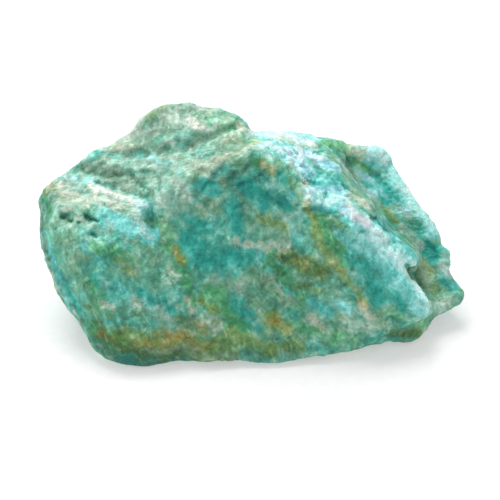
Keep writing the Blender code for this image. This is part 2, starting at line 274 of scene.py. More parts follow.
class Wiring:
    """Lays nodes into a node tree and joins them."""

    def __init__(self, tree: bpy.types.NodeTree) -> None:
        """Starts on the tree that gets the nodes."""
        self.tree = tree

    def join(self, value: bpy.types.NodeSocket, socket: bpy.types.NodeSocket) -> None:
        """Leads a value to a socket."""
        self.tree.links.new(value, socket)

    def give(self, socket: bpy.types.NodeSocket, value: Any) -> None:
        """Gives a socket its value.

        Args:
            socket: The socket.
            value: A value to set, or a socket to join to it.
        """
        if isinstance(value, bpy.types.NodeSocket):
            self.join(value, socket)
        else:
            socket.default_value = value

    def add(self, kind: str, inputs: dict[Any, Any] | None = None, **settings: Any) -> bpy.types.Node:
        """A new node.

        Args:
            kind: The node's type.
            inputs: Values or sockets for its inputs, by name or number.
            **settings: Other settings of the node.

        Returns:
            The node.
        """
        node = self.tree.nodes.new(kind)
        for name, value in settings.items():
            setattr(node, name, value)
        for name, value in (inputs or {}).items():
            self.give(node.inputs[name], value)
        return node

    def sum(self, operation: str, first: Any, second: Any = 0.0) -> bpy.types.NodeSocket:
        """The result of one sum on two values or sockets."""
        return self.add("ShaderNodeMath", {0: first, 1: second}, operation=operation).outputs[0]

    def total(self, start: float, parts: Iterable[tuple[Any, float]]) -> Any:
        """A starting value with parts added to it.

        Args:
            start: The starting value.
            parts: Each part with its weight.

        Returns:
            The total.
        """
        value = start
        for part, weight in parts:
            value = self.sum("ADD", value, self.sum("MULTIPLY", part, weight))
        return value

    def blend(self, share: Any, first: Any, second: Any) -> bpy.types.NodeSocket:
        """A colour between two colours.

        Args:
            share: How much of the second shows.
            first: The first colour.
            second: The second colour.

        Returns:
            The colour.
        """
        low, high = MIX_COLORS
        inputs = {MIX_SHARE: share, low: opaque(first), high: opaque(second)}
        return self.add("ShaderNodeMix", inputs, data_type="RGBA").outputs[MIX_COLOR_OUT]

    def either(self, share: Any, first: Any, second: Any) -> bpy.types.NodeSocket:
        """A value between two values.

        Args:
            share: How much of the second shows.
            first: The first value.
            second: The second value.

        Returns:
            The value.
        """
        low, high = MIX_VALUES
        return self.add("ShaderNodeMix", {MIX_SHARE: share, low: first, high: second}).outputs[MIX_VALUE_OUT]

    def vector(self, operation: str, first: Any, second: Any) -> bpy.types.NodeSocket:
        """The result of one sum on two vectors."""
        return self.add("ShaderNodeVectorMath", {0: first, 1: second}, operation=operation).outputs[0]

    def scaled(self, vector: Any, scale: Any) -> bpy.types.NodeSocket:
        """A vector or a colour times a value."""
        return self.add("ShaderNodeVectorMath", {0: vector, "Scale": scale}, operation="SCALE").outputs[0]

    def ramp(self, value: Any, low: float, high: float) -> bpy.types.NodeSocket:
        """0 below low, 1 above high, and a straight rise between them."""
        return self.add("ShaderNodeMapRange", {"Value": value, "From Min": low, "From Max": high}).outputs[0]

    def between(self, value: Any, low: Any, high: Any) -> bpy.types.NodeSocket:
        """0 below low, 1 above high, and a smooth rise between them."""
        inputs = {"Value": value, "From Min": low, "From Max": high}
        return self.add("ShaderNodeMapRange", inputs, interpolation_type="SMOOTHSTEP").outputs[0]

    def edge(self, value: Any, level: Any, softness: Any) -> bpy.types.NodeSocket:
        """0 below a level and 1 above it, with a smooth edge.

        Args:
            value: The value.
            level: The level.
            softness: How far the edge reaches on each side of it.

        Returns:
            The mask.
        """
        low = self.sum("SUBTRACT", level, softness)
        high = self.sum("ADD", level, softness)
        return self.between(value, low, high)

    def swayed(self, place: Any, scale: Any, way: Any, detail: float) -> bpy.types.NodeSocket:
        """A place moved by noise, so that what is laid out there has wavy edges.

        Args:
            place: The place.
            scale: How many waves there are in a millimetre.
            way: How far the place moves, in millimetres.
            detail: How fine the noise gets.

        Returns:
            The moved place.
        """
        waver = self.add("ShaderNodeTexNoise", {"Vector": place, "Scale": scale, "Detail": detail})
        return self.vector("ADD", place, self.scaled(waver.outputs["Color"], way))

    def attribute(self, layer: Layer) -> bpy.types.NodeSocket:
        """A layer's value on the surface."""
        return self.add("ShaderNodeAttribute", attribute_name=layer.value).outputs["Fac"]

    def place(self) -> bpy.types.NodeSocket:
        """Where the surface is, in millimetres."""
        return self.scaled(self.add("ShaderNodeTexCoord").outputs["Object"], 1.0 / MM)

    def group(self, tree: bpy.types.NodeTree, **inputs: Any) -> bpy.types.Node:
        """A shared effect, placed with its own values.

        Args:
            tree: The effect's node group.
            **inputs: Values or sockets for its inputs, by name.

        Returns:
            The node.
        """
        node = self.add("ShaderNodeGroup", node_tree=tree)
        for name, value in inputs.items():
            self.give(node.inputs[name.replace("_", " ").capitalize()], value)
        return node


def opaque(color: Any) -> Any:
    """A colour with its fourth value, or a socket as it is."""
    return (*color, 1.0) if isinstance(color, tuple) else color


class Effect(Enum):
    """The effects that the finishes share."""

    CLOUDS = "clouds"
    CRYSTALS = "crystals"
    CRACKS = "cracks"
    TONE = "tone"
    STAIN = "stain"
    THREADS = "threads"
    FLECKS = "flecks"
    GRAIN = "grain"


class EffectShelf:
    """Builds each shared effect once, as a node group."""

    def __init__(self) -> None:
        """Builds all the groups."""
        self.trees = {
            Effect.CLOUDS: self.clouds(),
            Effect.CRYSTALS: self.crystals(),
            Effect.CRACKS: self.cracks(),
            Effect.TONE: self.tone(),
            Effect.STAIN: self.stain(),
            Effect.THREADS: self.threads(),
            Effect.FLECKS: self.flecks(),
            Effect.GRAIN: self.grain(),
        }

    def __getitem__(self, effect: Effect) -> bpy.types.NodeTree:
        """The node group of an effect."""
        return self.trees[effect]

    def blank(
        self, effect: Effect, inputs: dict[str, str], outputs: dict[str, str]
    ) -> tuple[Wiring, Any, Any]:
        """An empty group with its named sockets.

        Args:
            effect: The effect, which names the group.
            inputs: Socket types by name.
            outputs: Socket types by name.

        Returns:
            The wiring, the group's input sockets and the sockets that it puts out.
        """
        tree = bpy.data.node_groups.new(effect.value, "ShaderNodeTree")
        for name, kind in inputs.items():
            tree.interface.new_socket(name=name, in_out="INPUT", socket_type=kind)
        for name, kind in outputs.items():
            tree.interface.new_socket(name=name, in_out="OUTPUT", socket_type=kind)
        wiring = Wiring(tree)
        return wiring, wiring.add("NodeGroupInput").outputs, wiring.add("NodeGroupOutput").inputs

    def clouds(self) -> bpy.types.NodeTree:
        """Clouds of a given size, as a value that swings about zero.

        Returns:
            The node group.
        """
        wiring, given, out = self.blank(
            Effect.CLOUDS,
            {"Place": VECTOR, "Offset": VECTOR, "Size": FLOAT, "Detail": FLOAT, "Warp": FLOAT},
            {"Value": FLOAT},
        )
        swing = 5.0  # widens the noise, which keeps near its middle
        inputs = {
            "Vector": wiring.vector("ADD", given["Place"], given["Offset"]),
            "Scale": wiring.sum("DIVIDE", 1.0, given["Size"]),
            "Detail": given["Detail"],
            "Roughness": 0.6,
            "Distortion": given["Warp"],
        }
        cloud = wiring.add("ShaderNodeTexNoise", inputs).outputs["Fac"]
        wiring.join(wiring.sum("MULTIPLY", wiring.sum("SUBTRACT", cloud, 0.5), swing), out["Value"])
        return wiring.tree

    def crystals(self) -> bpy.types.NodeTree:
        """Interlocking crystals, each with values of its own that swing about zero.

        Returns:
            The node group.
        """
        wiring, given, out = self.blank(
            Effect.CRYSTALS,
            {"Place": VECTOR, "Offset": VECTOR, "Size": FLOAT, "Sway": FLOAT},
            {"Bleach": FLOAT, "Hue": FLOAT, "Edge": FLOAT},
        )
        place = wiring.vector("ADD", given["Place"], given["Offset"])
        scale = wiring.sum("DIVIDE", 1.0, given["Size"])
        way = wiring.sum("MULTIPLY", given["Size"], given["Sway"])
        where = wiring.swayed(place, scale, way, 0.5)
        cells = wiring.add("ShaderNodeTexVoronoi", {"Vector": where, "Scale": scale})
        own = wiring.add("ShaderNodeSeparateColor", {0: cells.outputs["Color"]})
        for source, name in zip(own.outputs, ("Bleach", "Hue", "Edge")):
            wiring.join(wiring.sum("SUBTRACT", source, 0.5), out[name])
        return wiring.tree

    def cracks(self) -> bpy.types.NodeTree:
        """Thin straight cracks that meet in corners, here and there.

        Returns:
            The node group.
        """
        wiring, given, out = self.blank(
            Effect.CRACKS,
            {"Place": VECTOR, "Size": FLOAT, "Width": FLOAT, "Share": FLOAT},
            {"Mask": FLOAT},
        )
        bend = 0.5  # how far the cracks sway, as a share of their size
        spread = 0.9  # scale of the parts that have cracks, against the cracks' own
        scale = wiring.sum("DIVIDE", 1.0, given["Size"])
        where = wiring.swayed(given["Place"], scale, wiring.sum("MULTIPLY", given["Size"], bend), 2.0)
        inputs = {"Vector": where, "Scale": scale}
        away = wiring.add("ShaderNodeTexVoronoi", inputs, feature="DISTANCE_TO_EDGE").outputs["Distance"]
        line = wiring.sum("SUBTRACT", 1.0, wiring.between(away, 0.0, given["Width"]))
        inputs = {"Vector": given["Place"], "Scale": wiring.sum("MULTIPLY", scale, spread), "Detail": 1.0}
        cloud = wiring.add("ShaderNodeTexNoise", inputs).outputs["Fac"]
        shown = wiring.edge(cloud, wiring.sum("SUBTRACT", 1.0, given["Share"]), 0.06)
        wiring.join(wiring.sum("MULTIPLY", line, shown), out["Mask"])
        return wiring.tree

    def tone(self) -> bpy.types.NodeTree:
        """One mineral's colour from dark to bright, by a value from 0 to 1.

        Returns:
            The node group.
        """
        wiring, given, out = self.blank(
            Effect.TONE,
            {"Value": FLOAT, "Dark": COLOR, "Middle": COLOR, "Light": COLOR, "Bright": COLOR},
            {"Color": COLOR},
        )
        color = given["Dark"]
        for name, low, high in (("Middle", 0.0, 0.38), ("Light", 0.38, 0.68), ("Bright", 0.68, 1.0)):
            color = wiring.blend(wiring.ramp(given["Value"], low, high), color, given[name])
        wiring.join(color, out["Color"])
        return wiring.tree

    def stain(self) -> bpy.types.NodeTree:
        """A marked patch with a ragged edge and holes in it.

        Returns:
            The node group.
        """
        wiring, given, out = self.blank(
            Effect.STAIN,
            {"Mark": FLOAT, "Cloud": FLOAT, "Raggedness": FLOAT, "Level": FLOAT, "Softness": FLOAT},
            {"Mask": FLOAT},
        )
        torn_from = 0.35  # the mark's value where the clouds tear it in full
        ragged = wiring.sum("MULTIPLY", given["Cloud"], given["Raggedness"])
        ragged = wiring.sum("MULTIPLY", ragged, wiring.between(given["Mark"], 0.0, torn_from))
        value = wiring.sum("ADD", ragged, given["Mark"])
        wiring.join(wiring.edge(value, given["Level"], given["Softness"]), out["Mask"])
        return wiring.tree

    def threads(self) -> bpy.types.NodeTree:
        """Short pale threads that lean one way, as the second feldspar makes in the first.

        Returns:
            The node group.
        """
        wiring, given, out = self.blank(
            Effect.THREADS,
            {"Place": VECTOR, "Lean": VECTOR, "Stretch": VECTOR, "Level": FLOAT, "Softness": FLOAT},
            {"Mask": FLOAT},
        )
        where = wiring.swayed(given["Place"], 0.35, 2.0, 1.0)
        inputs = {"Vector": where, "Rotation": given["Lean"]}
        turned = wiring.add("ShaderNodeVectorRotate", inputs, rotation_type="EULER_XYZ").outputs[0]
        drawn = wiring.vector("DIVIDE", turned, given["Stretch"])
        inputs = {"Vector": drawn, "Scale": 1.0, "Detail": 1.5, "Roughness": 0.5}
        cloud = wiring.add("ShaderNodeTexNoise", inputs).outputs["Fac"]
        wiring.join(wiring.edge(cloud, given["Level"], given["Softness"]), out["Mask"])
        return wiring.tree

    def flecks(self) -> bpy.types.NodeTree:
        """Small crystals that stand out from the rest: a given share of all the crystals of a given size.

        Returns:
            The node group.
        """
        wiring, given, out = self.blank(
            Effect.FLECKS,
            {"Place": VECTOR, "Offset": VECTOR, "Size": FLOAT, "Share": FLOAT},
            {"Mask": FLOAT},
        )
        bend = 0.8  # how far the crystals' edges sway, as a share of their size
        rim = 0.66  # how far from its middle a fleck ends, and from where it is whole
        core = 0.16
        place = wiring.vector("ADD", given["Place"], given["Offset"])
        scale = wiring.sum("DIVIDE", 1.0, given["Size"])
        where = wiring.swayed(place, scale, wiring.sum("MULTIPLY", given["Size"], bend), 0.5)
        cells = wiring.add("ShaderNodeTexVoronoi", {"Vector": where, "Scale": scale})
        own = wiring.add("ShaderNodeSeparateColor", {0: cells.outputs["Color"]}).outputs[0]
        chosen = wiring.edge(own, wiring.sum("SUBTRACT", 1.0, given["Share"]), 0.04)
        blob = wiring.between(cells.outputs["Distance"], rim, core)
        wiring.join(wiring.sum("MULTIPLY", chosen, blob), out["Mask"])
        return wiring.tree

    def grain(self) -> bpy.types.NodeTree:
        """The sugary grain of a broken surface: its height, and how it changes the gloss.

        Returns:
            The node group.
        """
        wiring, given, out = self.blank(
            Effect.GRAIN,
            {"Place": VECTOR, "Size": FLOAT, "Sharpness": FLOAT},
            {"Height": FLOAT, "Gloss": FLOAT},
        )
        finer = 1.7  # the chips' scale against the grain's own
        scale = wiring.sum("DIVIDE", 1.0, given["Size"])
        fine = wiring.sum("MULTIPLY", scale, finer)
        inputs = {"Vector": given["Place"], "Scale": scale, "Detail": 3.0, "Roughness": 0.55}
        cloud = wiring.add("ShaderNodeTexNoise", inputs).outputs["Fac"]
        chips = wiring.add("ShaderNodeTexVoronoi", {"Vector": given["Place"], "Scale": fine})
        sharp = wiring.sum("MULTIPLY", chips.outputs["Distance"], given["Sharpness"])
        wiring.join(wiring.sum("ADD", cloud, sharp), out["Height"])
        wiring.join(wiring.between(cloud, 0.35, 0.65), out["Gloss"])
        return wiring.tree


@dataclass(frozen=True)
class Mineral:
    """One mineral's colours, from its deepest crystals to its most bleached; painted shade and painted
    highlight also move the stone towards its dark and bright ones.

    Attributes:
        dark: Deep, clear crystals.
        middle: The usual colour.
        light: Clouded crystals.
        bright: Bleached crystals.
    """

    dark: Color
    middle: Color
    light: Color
    bright: Color

    def color(self, wiring: Wiring, effects: EffectShelf, value: Any) -> bpy.types.NodeSocket:
        """The mineral's colour at a value from 0 to 1."""
        tones = {name: opaque(getattr(self, name)) for name in ("dark", "middle", "light", "bright")}
        return wiring.group(effects[Effect.TONE], value=value, **tones).outputs["Color"]


SEA = Mineral(shade(34, 114, 102), shade(68, 162, 144), shade(134, 200, 184), shade(208, 234, 226))
MOSS = Mineral(shade(58, 110, 82), shade(100, 154, 122), shade(156, 188, 164), shade(210, 226, 214))
LEAF_GREEN = Mineral(shade(38, 110, 70), shade(72, 154, 102), shade(120, 190, 144), shade(188, 226, 202))
DEEP_TEAL = Mineral(shade(8, 108, 100), shade(24, 152, 138), shade(76, 188, 174), shade(178, 232, 222))
PALE_BLUE = Mineral(shade(44, 138, 130), shade(84, 188, 180), shade(136, 215, 211), shade(203, 240, 238))
PALE_ICE = Mineral(shade(72, 150, 156), shade(120, 186, 194), shade(168, 212, 222), shade(216, 234, 242))
OLIVE_VEIN = Mineral(shade(60, 98, 46), shade(102, 138, 70), shade(146, 174, 110), shade(196, 212, 174))
GREY_CRUST = Mineral(shade(84, 118, 98), shade(130, 162, 142), shade(172, 194, 178), shade(212, 222, 210))
CREAM_CRUST = Mineral(shade(132, 156, 130), shade(178, 188, 166), shade(210, 208, 192), shade(234, 228, 218))
IRON_STAIN = Mineral(shade(100, 98, 40), shade(154, 134, 52), shade(186, 164, 88), shade(214, 202, 150))

BLEACHED = shade(194, 230, 218)
TAN = shade(200, 194, 164)
DARK_GREEN = shade(20, 92, 74)


@dataclass(frozen=True)
class Patch:
    """How a marked mineral shows in the stone.

    Attributes:
        layer: Where it is marked.
        mineral: Its colours.
        size: Size of the clouds that tear its edge, in millimetres.
        raggedness: How much they tear it.
        cover: How much of the stone's own colour it covers.
        softness: How gradual its edge is.
        level: The value of the mark where its edge lies.
    """

    layer: Layer
    mineral: Mineral
    size: float
    raggedness: float
    cover: float
    softness: float = 0.28
    level: float = 0.45

    def share(self, wiring: Wiring, effects: EffectShelf, cloud: Any) -> bpy.types.NodeSocket:
        """How much of the patch shows.

        Args:
            wiring: The material's wiring.
            effects: The shared effects.
            cloud: The clouds that tear its edge.

        Returns:
            The share.
        """
        stain = wiring.group(
            effects[Effect.STAIN],
            mark=wiring.attribute(self.layer),
            cloud=cloud,
            raggedness=self.raggedness,
            level=self.level,
            softness=self.softness,
        )
        return wiring.sum("MULTIPLY", stain.outputs["Mask"], self.cover)


@dataclass(frozen=True)
class Threads:
    """How a set of threads lies in the stone.

    Attributes:
        lean: Its turn about each axis, in radians.
        stretch: Width, depth and length of a thread, in millimetres.
        level: How rare the threads are.
        softness: How gradual their edges are.
    """

    lean: Triple
    stretch: Triple
    level: float
    softness: float

    def mask(self, wiring: Wiring, effects: EffectShelf, place: Any) -> bpy.types.NodeSocket:
        """Where the threads show."""
        values = {"lean": self.lean, "stretch": self.stretch, "level": self.level, "softness": self.softness}
        return wiring.group(effects[Effect.THREADS], place=place, **values).outputs["Mask"]


@dataclass(frozen=True)
class Flecks:
    """A set of small crystals that stand out.

    Attributes:
        offset: Moves the set, so that it differs from the others.
        size: Their size, in millimetres.
        share: How many of all the crystals stand out.
    """

    offset: Triple
    size: float
    share: float

    def mask(
        self, wiring: Wiring, effects: EffectShelf, place: Any, crowd: Any = None
    ) -> bpy.types.NodeSocket:
        """Where the crystals show.

        Args:
            wiring: The material's wiring.
            effects: The shared effects.
            place: Where the surface is.
            crowd: Where they crowd together; without it they lie evenly.

        Returns:
            The mask.
        """
        share = self.share if crowd is None else wiring.sum("MULTIPLY", crowd, self.share)
        values = {"offset": self.offset, "size": self.size, "share": share}
        return wiring.group(effects[Effect.FLECKS], place=place, **values).outputs["Mask"]


@dataclass(frozen=True)
class Touch:
    """What a small detail does to the stone's colour.

    Attributes:
        color: The detail's own colour.
        cover: How much of the stone's colour that covers.
        gain: How much brighter the detail makes the stone, or darker below zero.
    """

    color: Color
    cover: float
    gain: float = 0.0


@dataclass(frozen=True)
class BleachingAndPaintedLight:
    """How much each thing lightens the stone, as bleaching and as painted highlight; below zero, how much it
    darkens it, as deep colour and as painted shade.

    Attributes:
        start: The stone without any of them, from 0 for deep to 1 for bleached.
        wide_clouds: The wide clouds.
        small_clouds: The small clouds.
        crystals: Each crystal's own value.
        pale: The marks of bleached stone, which also paint highlight on lit rims, ridges, ledges and the
            bench.
        deep: The marks of deep colour, which also paint shade in creases, crevices, hollows and under the
            stone.
        crest: Painted highlight on the crests of the relief.
        hollow: Painted shade in the hollows of the relief.
    """

    start: float = 0.40
    wide_clouds: float = 0.14
    small_clouds: float = 0.09
    crystals: float = 0.09
    # the pale marks: bleached crust, and painted highlight where light falls
    pale: float = 0.40
    # the deep marks: deep colour, and painted shade where shade falls
    deep: float = -0.36
    # painted highlight on the crests
    crest: float = 0.16
    # painted shade in the hollows
    hollow: float = -0.22


@dataclass(frozen=True)
class Clouds:
    """A set of clouds in the stone.

    Attributes:
        number: Each number gives other clouds.
        size: Their size, in millimetres.
        detail: How fine they get.
        warp: How much they are drawn out of shape.
    """

    number: int
    size: float
    detail: float
    warp: float = 0.3

    def value(self, wiring: Wiring, effects: EffectShelf, place: Any) -> bpy.types.NodeSocket:
        """The clouds, as a value that swings about zero.

        Args:
            wiring: The material's wiring.
            effects: The shared effects.
            place: Where the surface is.

        Returns:
            The value.
        """
        offset = (7.3 * self.number, 3.1 * self.number, 5.7 * self.number)
        values = {"offset": offset, "size": self.size, "detail": self.detail, "warp": self.warp}
        return wiring.group(effects[Effect.CLOUDS], place=place, **values).outputs["Value"]


@dataclass(frozen=True)
class FeldsparFinish:
    """The stone's skin: every colour and grain of blue-green feldspar.

    Attributes:
        wide_clouds: The wide clouds that bleach the stone.
        small_clouds: The small ones.
        halves: The clouds that part the blue-green half from the greener one.
        halves_edge: How far the halves run into each other.
        own_share: How much each crystal's own value tears the minerals' edges.
        patches: The minerals that are marked on the surface, from the lowest to the highest.
        first_patch: The number of the lowest patch's clouds; each patch above it has the next.
        bleaching_and_painted_light: What bleaches and deepens the stone, and what paints highlight and shade
            on it.
        steep_threads: The threads of the steep faces.
        flat_threads: The threads of the bench and the shelves.
        layers: The fine layers of the bench and the shelves.
        flat_edge: How layered the stone is where the steep threads end, and where the flat ones are whole.
        plainness: How much of the threads and the pale flecks is gone in teal and in worn stone.
        crowds: Where the pale flecks crowd together.
        crowd_edge: The value of these clouds where the first flecks show, and where all do.
        pale_flecks: Small bleached crystals.
        warm_flecks: Small warm crystals.
        gaps: Small dark gaps.
        crack_size: How far apart the fine cracks are, in millimetres.
        crack_width: Their width, as a share of that.
        crack_share: How much of the stone has them.
        mottling: The finest clouds.
        sparkle: How much they brighten and darken.
        coarse_grain: Size of the coarse grain, in millimetres.
        fine_grain: Size of the fine grain, in millimetres.
        fine_share: Its height against the coarse grain.
        layer_height: Height of the fine layers, against the coarse grain.
        relief: Height of the grain, in millimetres.
        dull: Roughness where the grain is dull.
        glossy: Roughness where it is glossy.
        refraction: The mineral's refractive index.
        shine: How strongly it mirrors.
    """

    wide_clouds: Clouds = Clouds(1, 2.4, detail=1.5)
    small_clouds: Clouds = Clouds(2, 0.9, detail=1.5)
    halves: Clouds = Clouds(3, 3.2, detail=1.5)
    halves_edge: float = 1.1
    own_share: float = 0.2
    patches: tuple[Patch, ...] = (
        Patch(Layer.LEAF, LEAF_GREEN, size=1.6, raggedness=0.22, cover=0.95),
        Patch(Layer.TEAL, DEEP_TEAL, size=1.3, raggedness=0.22, cover=0.95),
        Patch(Layer.SKY, PALE_BLUE, size=1.2, raggedness=0.24, cover=0.9),
        Patch(Layer.ICE, PALE_ICE, size=1.2, raggedness=0.30, cover=0.9),
        Patch(Layer.OLIVE, OLIVE_VEIN, size=1.1, raggedness=0.26, cover=0.85),
        Patch(Layer.DUST, GREY_CRUST, size=1.2, raggedness=0.40, cover=0.8, softness=0.40),
        Patch(Layer.CREAM, CREAM_CRUST, size=0.8, raggedness=0.50, cover=0.7, softness=0.44),
        Patch(Layer.RUST, IRON_STAIN, size=0.9, raggedness=0.34, cover=0.65, softness=0.42),
    )
    first_patch: int = 4
    # what bleaches and deepens the stone, and the painted highlight and painted shade
    bleaching_and_painted_light: BleachingAndPaintedLight = BleachingAndPaintedLight()
    steep_threads: Threads = Threads((0.5, 0.5, 0.0), (0.50, 0.50, 1.7), level=0.59, softness=0.10)
    flat_threads: Threads = Threads((0.0, 1.5, 0.2), (0.50, 0.50, 1.2), level=0.58, softness=0.11)
    layers: Threads = Threads((0.0, 1.5, 0.2), (0.42, 0.42, 1.5), level=0.5, softness=0.24)
    flat_edge: tuple[float, float] = (0.15, 0.5)
    plainness: float = 0.7
    crowds: Clouds = Clouds(16, 2.6, detail=2.0)
    crowd_edge: tuple[float, float] = (-0.5, 0.7)
    pale_flecks: Flecks = Flecks((0.0, 0.0, 0.0), size=0.75, share=0.36)
    warm_flecks: Flecks = Flecks((9.0, 4.0, 2.0), size=1.0, share=0.09)
    gaps: Flecks = Flecks((3.0, 8.0, 5.0), size=0.80, share=0.20)
    crack_size: float = 2.0
    crack_width: float = 0.05
    crack_share: float = 0.52
    mottling: Clouds = Clouds(15, 0.34, detail=1.0)
    sparkle: float = 0.11
    coarse_grain: float = 1.2
    fine_grain: float = 0.55
    fine_share: float = 0.5
    layer_height: float = 0.26
    relief: float = 0.26
    dull: float = 0.70
    glossy: float = 0.42
    refraction: float = 1.52
    shine: float = 0.3

    def material(self, effects: EffectShelf) -> bpy.types.Material:
        """The material.

        Args:
            effects: The shared effects.

        Returns:
            The material.
        """
        made = bpy.data.materials.new("blue_green_feldspar")
        made.use_nodes = True
        wiring = Wiring(made.node_tree)
        shader = made.node_tree.nodes["Principled BSDF"]
        place = wiring.place()
        crystals = wiring.group(
            effects[Effect.CRYSTALS], place=place, offset=(1.0, 2.0, 3.0), size=0.9, sway=0.7
        )
        value = self.value(wiring, effects, place, crystals)
        tone = self.minerals(wiring, effects, place, crystals, value)
        tone = self.details(wiring, effects, place, tone)
        wiring.join(tone, shader.inputs["Base Color"])
        self.surface(wiring, effects, place, shader)
        return made

    def layered(self, wiring: Wiring) -> bpy.types.NodeSocket:
        """Where the stone parts into thin layers."""
        return wiring.sum("MAXIMUM", wiring.attribute(Layer.SHELVES), wiring.attribute(Layer.BENCH))

    def value(self, wiring: Wiring, effects: EffectShelf, place: Any, crystals: Any) -> bpy.types.NodeSocket:
        """How bleached the stone is, with the painted highlight and painted shade in it.

        Args:
            wiring: The material's wiring.
            effects: The shared effects.
            place: Where the surface is.
            crystals: The crystals' own values.

        Returns:
            The value, from 0 for deep colour and painted shade to 1 for bleached stone and painted highlight.
        """
        # weights for bleaching and deep colour, and for painted highlight and painted shade
        weights = self.bleaching_and_painted_light
        parts = (
            (self.wide_clouds.value(wiring, effects, place), weights.wide_clouds),
            (self.small_clouds.value(wiring, effects, place), weights.small_clouds),
            (crystals.outputs["Bleach"], weights.crystals),
            # pale marks: bleached crust, and painted highlight on lit rims, ridges, ledges and the bench
            (wiring.attribute(Layer.PALE), weights.pale),
            # deep marks: deep colour, and painted shade in creases, crevices, hollows and under the stone
            (wiring.attribute(Layer.DEEP), weights.deep),
            # painted highlight on the crests and painted shade in the hollows
            (wiring.attribute(Layer.CREST_HIGHLIGHT), weights.crest),
            (wiring.attribute(Layer.HOLLOW_SHADE), weights.hollow),
        )
        return wiring.total(weights.start, parts)

    def minerals(
        self, wiring: Wiring, effects: EffectShelf, place: Any, crystals: Any, value: Any
    ) -> bpy.types.NodeSocket:
        """The stone's own two minerals, and the marked ones over them.

        Args:
            wiring: The material's wiring.
            effects: The shared effects.
            place: Where the surface is.
            crystals: The crystals' own values.
            value: How bleached the stone is, with the painted highlight and painted shade in it.

        Returns:
            The colour.
        """
        halves = self.halves.value(wiring, effects, place)
        halves = wiring.sum("ADD", halves, wiring.sum("MULTIPLY", crystals.outputs["Hue"], self.own_share))
        share = wiring.between(halves, -self.halves_edge, self.halves_edge)
        tone = wiring.blend(share, SEA.color(wiring, effects, value), MOSS.color(wiring, effects, value))
        for number, patch in enumerate(self.patches, self.first_patch):
            cloud = Clouds(number, patch.size, detail=2.0).value(wiring, effects, place)
            cloud = wiring.sum("ADD", cloud, wiring.sum("MULTIPLY", crystals.outputs["Edge"], self.own_share))
            color = patch.mineral.color(wiring, effects, value)
            tone = wiring.blend(patch.share(wiring, effects, cloud), tone, color)
        return tone

    def details(self, wiring: Wiring, effects: EffectShelf, place: Any, tone: Any) -> bpy.types.NodeSocket:
        """Threads, small crystals, small gaps and fine cracks.

        Args:
            wiring: The material's wiring.
            effects: The shared effects.
            place: Where the surface is.
            tone: The colour without them.

        Returns:
            The colour with them.
        """
        steep = self.steep_threads.mask(wiring, effects, place)
        flat = self.flat_threads.mask(wiring, effects, place)
        threads = wiring.either(wiring.between(self.layered(wiring), *self.flat_edge), steep, flat)
        plain = wiring.sum("MAXIMUM", wiring.attribute(Layer.TEAL), wiring.attribute(Layer.WORN))
        clear = wiring.sum("SUBTRACT", 1.0, wiring.sum("MULTIPLY", plain, self.plainness))
        crowd = wiring.between(self.crowds.value(wiring, effects, place), *self.crowd_edge)
        crowd = wiring.sum("MULTIPLY", crowd, clear)
        cracks = wiring.group(
            effects[Effect.CRACKS],
            place=place,
            size=self.crack_size,
            width=self.crack_width,
            share=self.crack_share,
        )
        touches = (
            (wiring.sum("MULTIPLY", threads, clear), Touch(BLEACHED, cover=0.05, gain=0.28)),
            (self.pale_flecks.mask(wiring, effects, place, crowd), Touch(BLEACHED, cover=0.09, gain=0.30)),
            (self.warm_flecks.mask(wiring, effects, place), Touch(TAN, cover=0.15)),
            (self.gaps.mask(wiring, effects, place), Touch(DARK_GREEN, cover=0.06, gain=-0.22)),
            (cracks.outputs["Mask"], Touch(DARK_GREEN, cover=0.10, gain=-0.15)),
        )
        for mask, touch in touches:
            tone = wiring.blend(wiring.sum("MULTIPLY", mask, touch.cover), tone, touch.color)
        sparkle = self.mottling.value(wiring, effects, place)
        parts = [(sparkle, self.sparkle)] + [(mask, touch.gain) for mask, touch in touches if touch.gain]
        return wiring.scaled(tone, wiring.total(1.0, parts))

    def surface(self, wiring: Wiring, effects: EffectShelf, place: Any, shader: bpy.types.Node) -> None:
        """Gloss and fine relief.

        Args:
            wiring: The material's wiring.
            effects: The shared effects.
            place: Where the surface is.
            shader: The material's shader.
        """
        coarse = wiring.group(effects[Effect.GRAIN], place=place, size=self.coarse_grain, sharpness=0.4)
        fine = wiring.group(effects[Effect.GRAIN], place=place, size=self.fine_grain, sharpness=0.3)
        finer = wiring.sum("MULTIPLY", fine.outputs["Height"], self.fine_share)
        height = wiring.sum("ADD", coarse.outputs["Height"], finer)
        share = wiring.sum("MULTIPLY", self.layered(wiring), self.layer_height)
        layers = wiring.sum("MULTIPLY", self.layers.mask(wiring, effects, place), share)
        height = wiring.sum("ADD", height, layers)
        bump = wiring.add("ShaderNodeBump", {"Height": height, "Strength": 1.0, "Distance": self.relief * MM})
        wiring.join(bump.outputs[0], shader.inputs["Normal"])
        inputs = {"Value": fine.outputs["Gloss"], "To Min": self.dull, "To Max": self.glossy}
        wiring.join(wiring.add("ShaderNodeMapRange", inputs).outputs[0], shader.inputs["Roughness"])
        shader.inputs["IOR"].default_value = self.refraction
        shader.inputs["Specular IOR Level"].default_value = self.shine


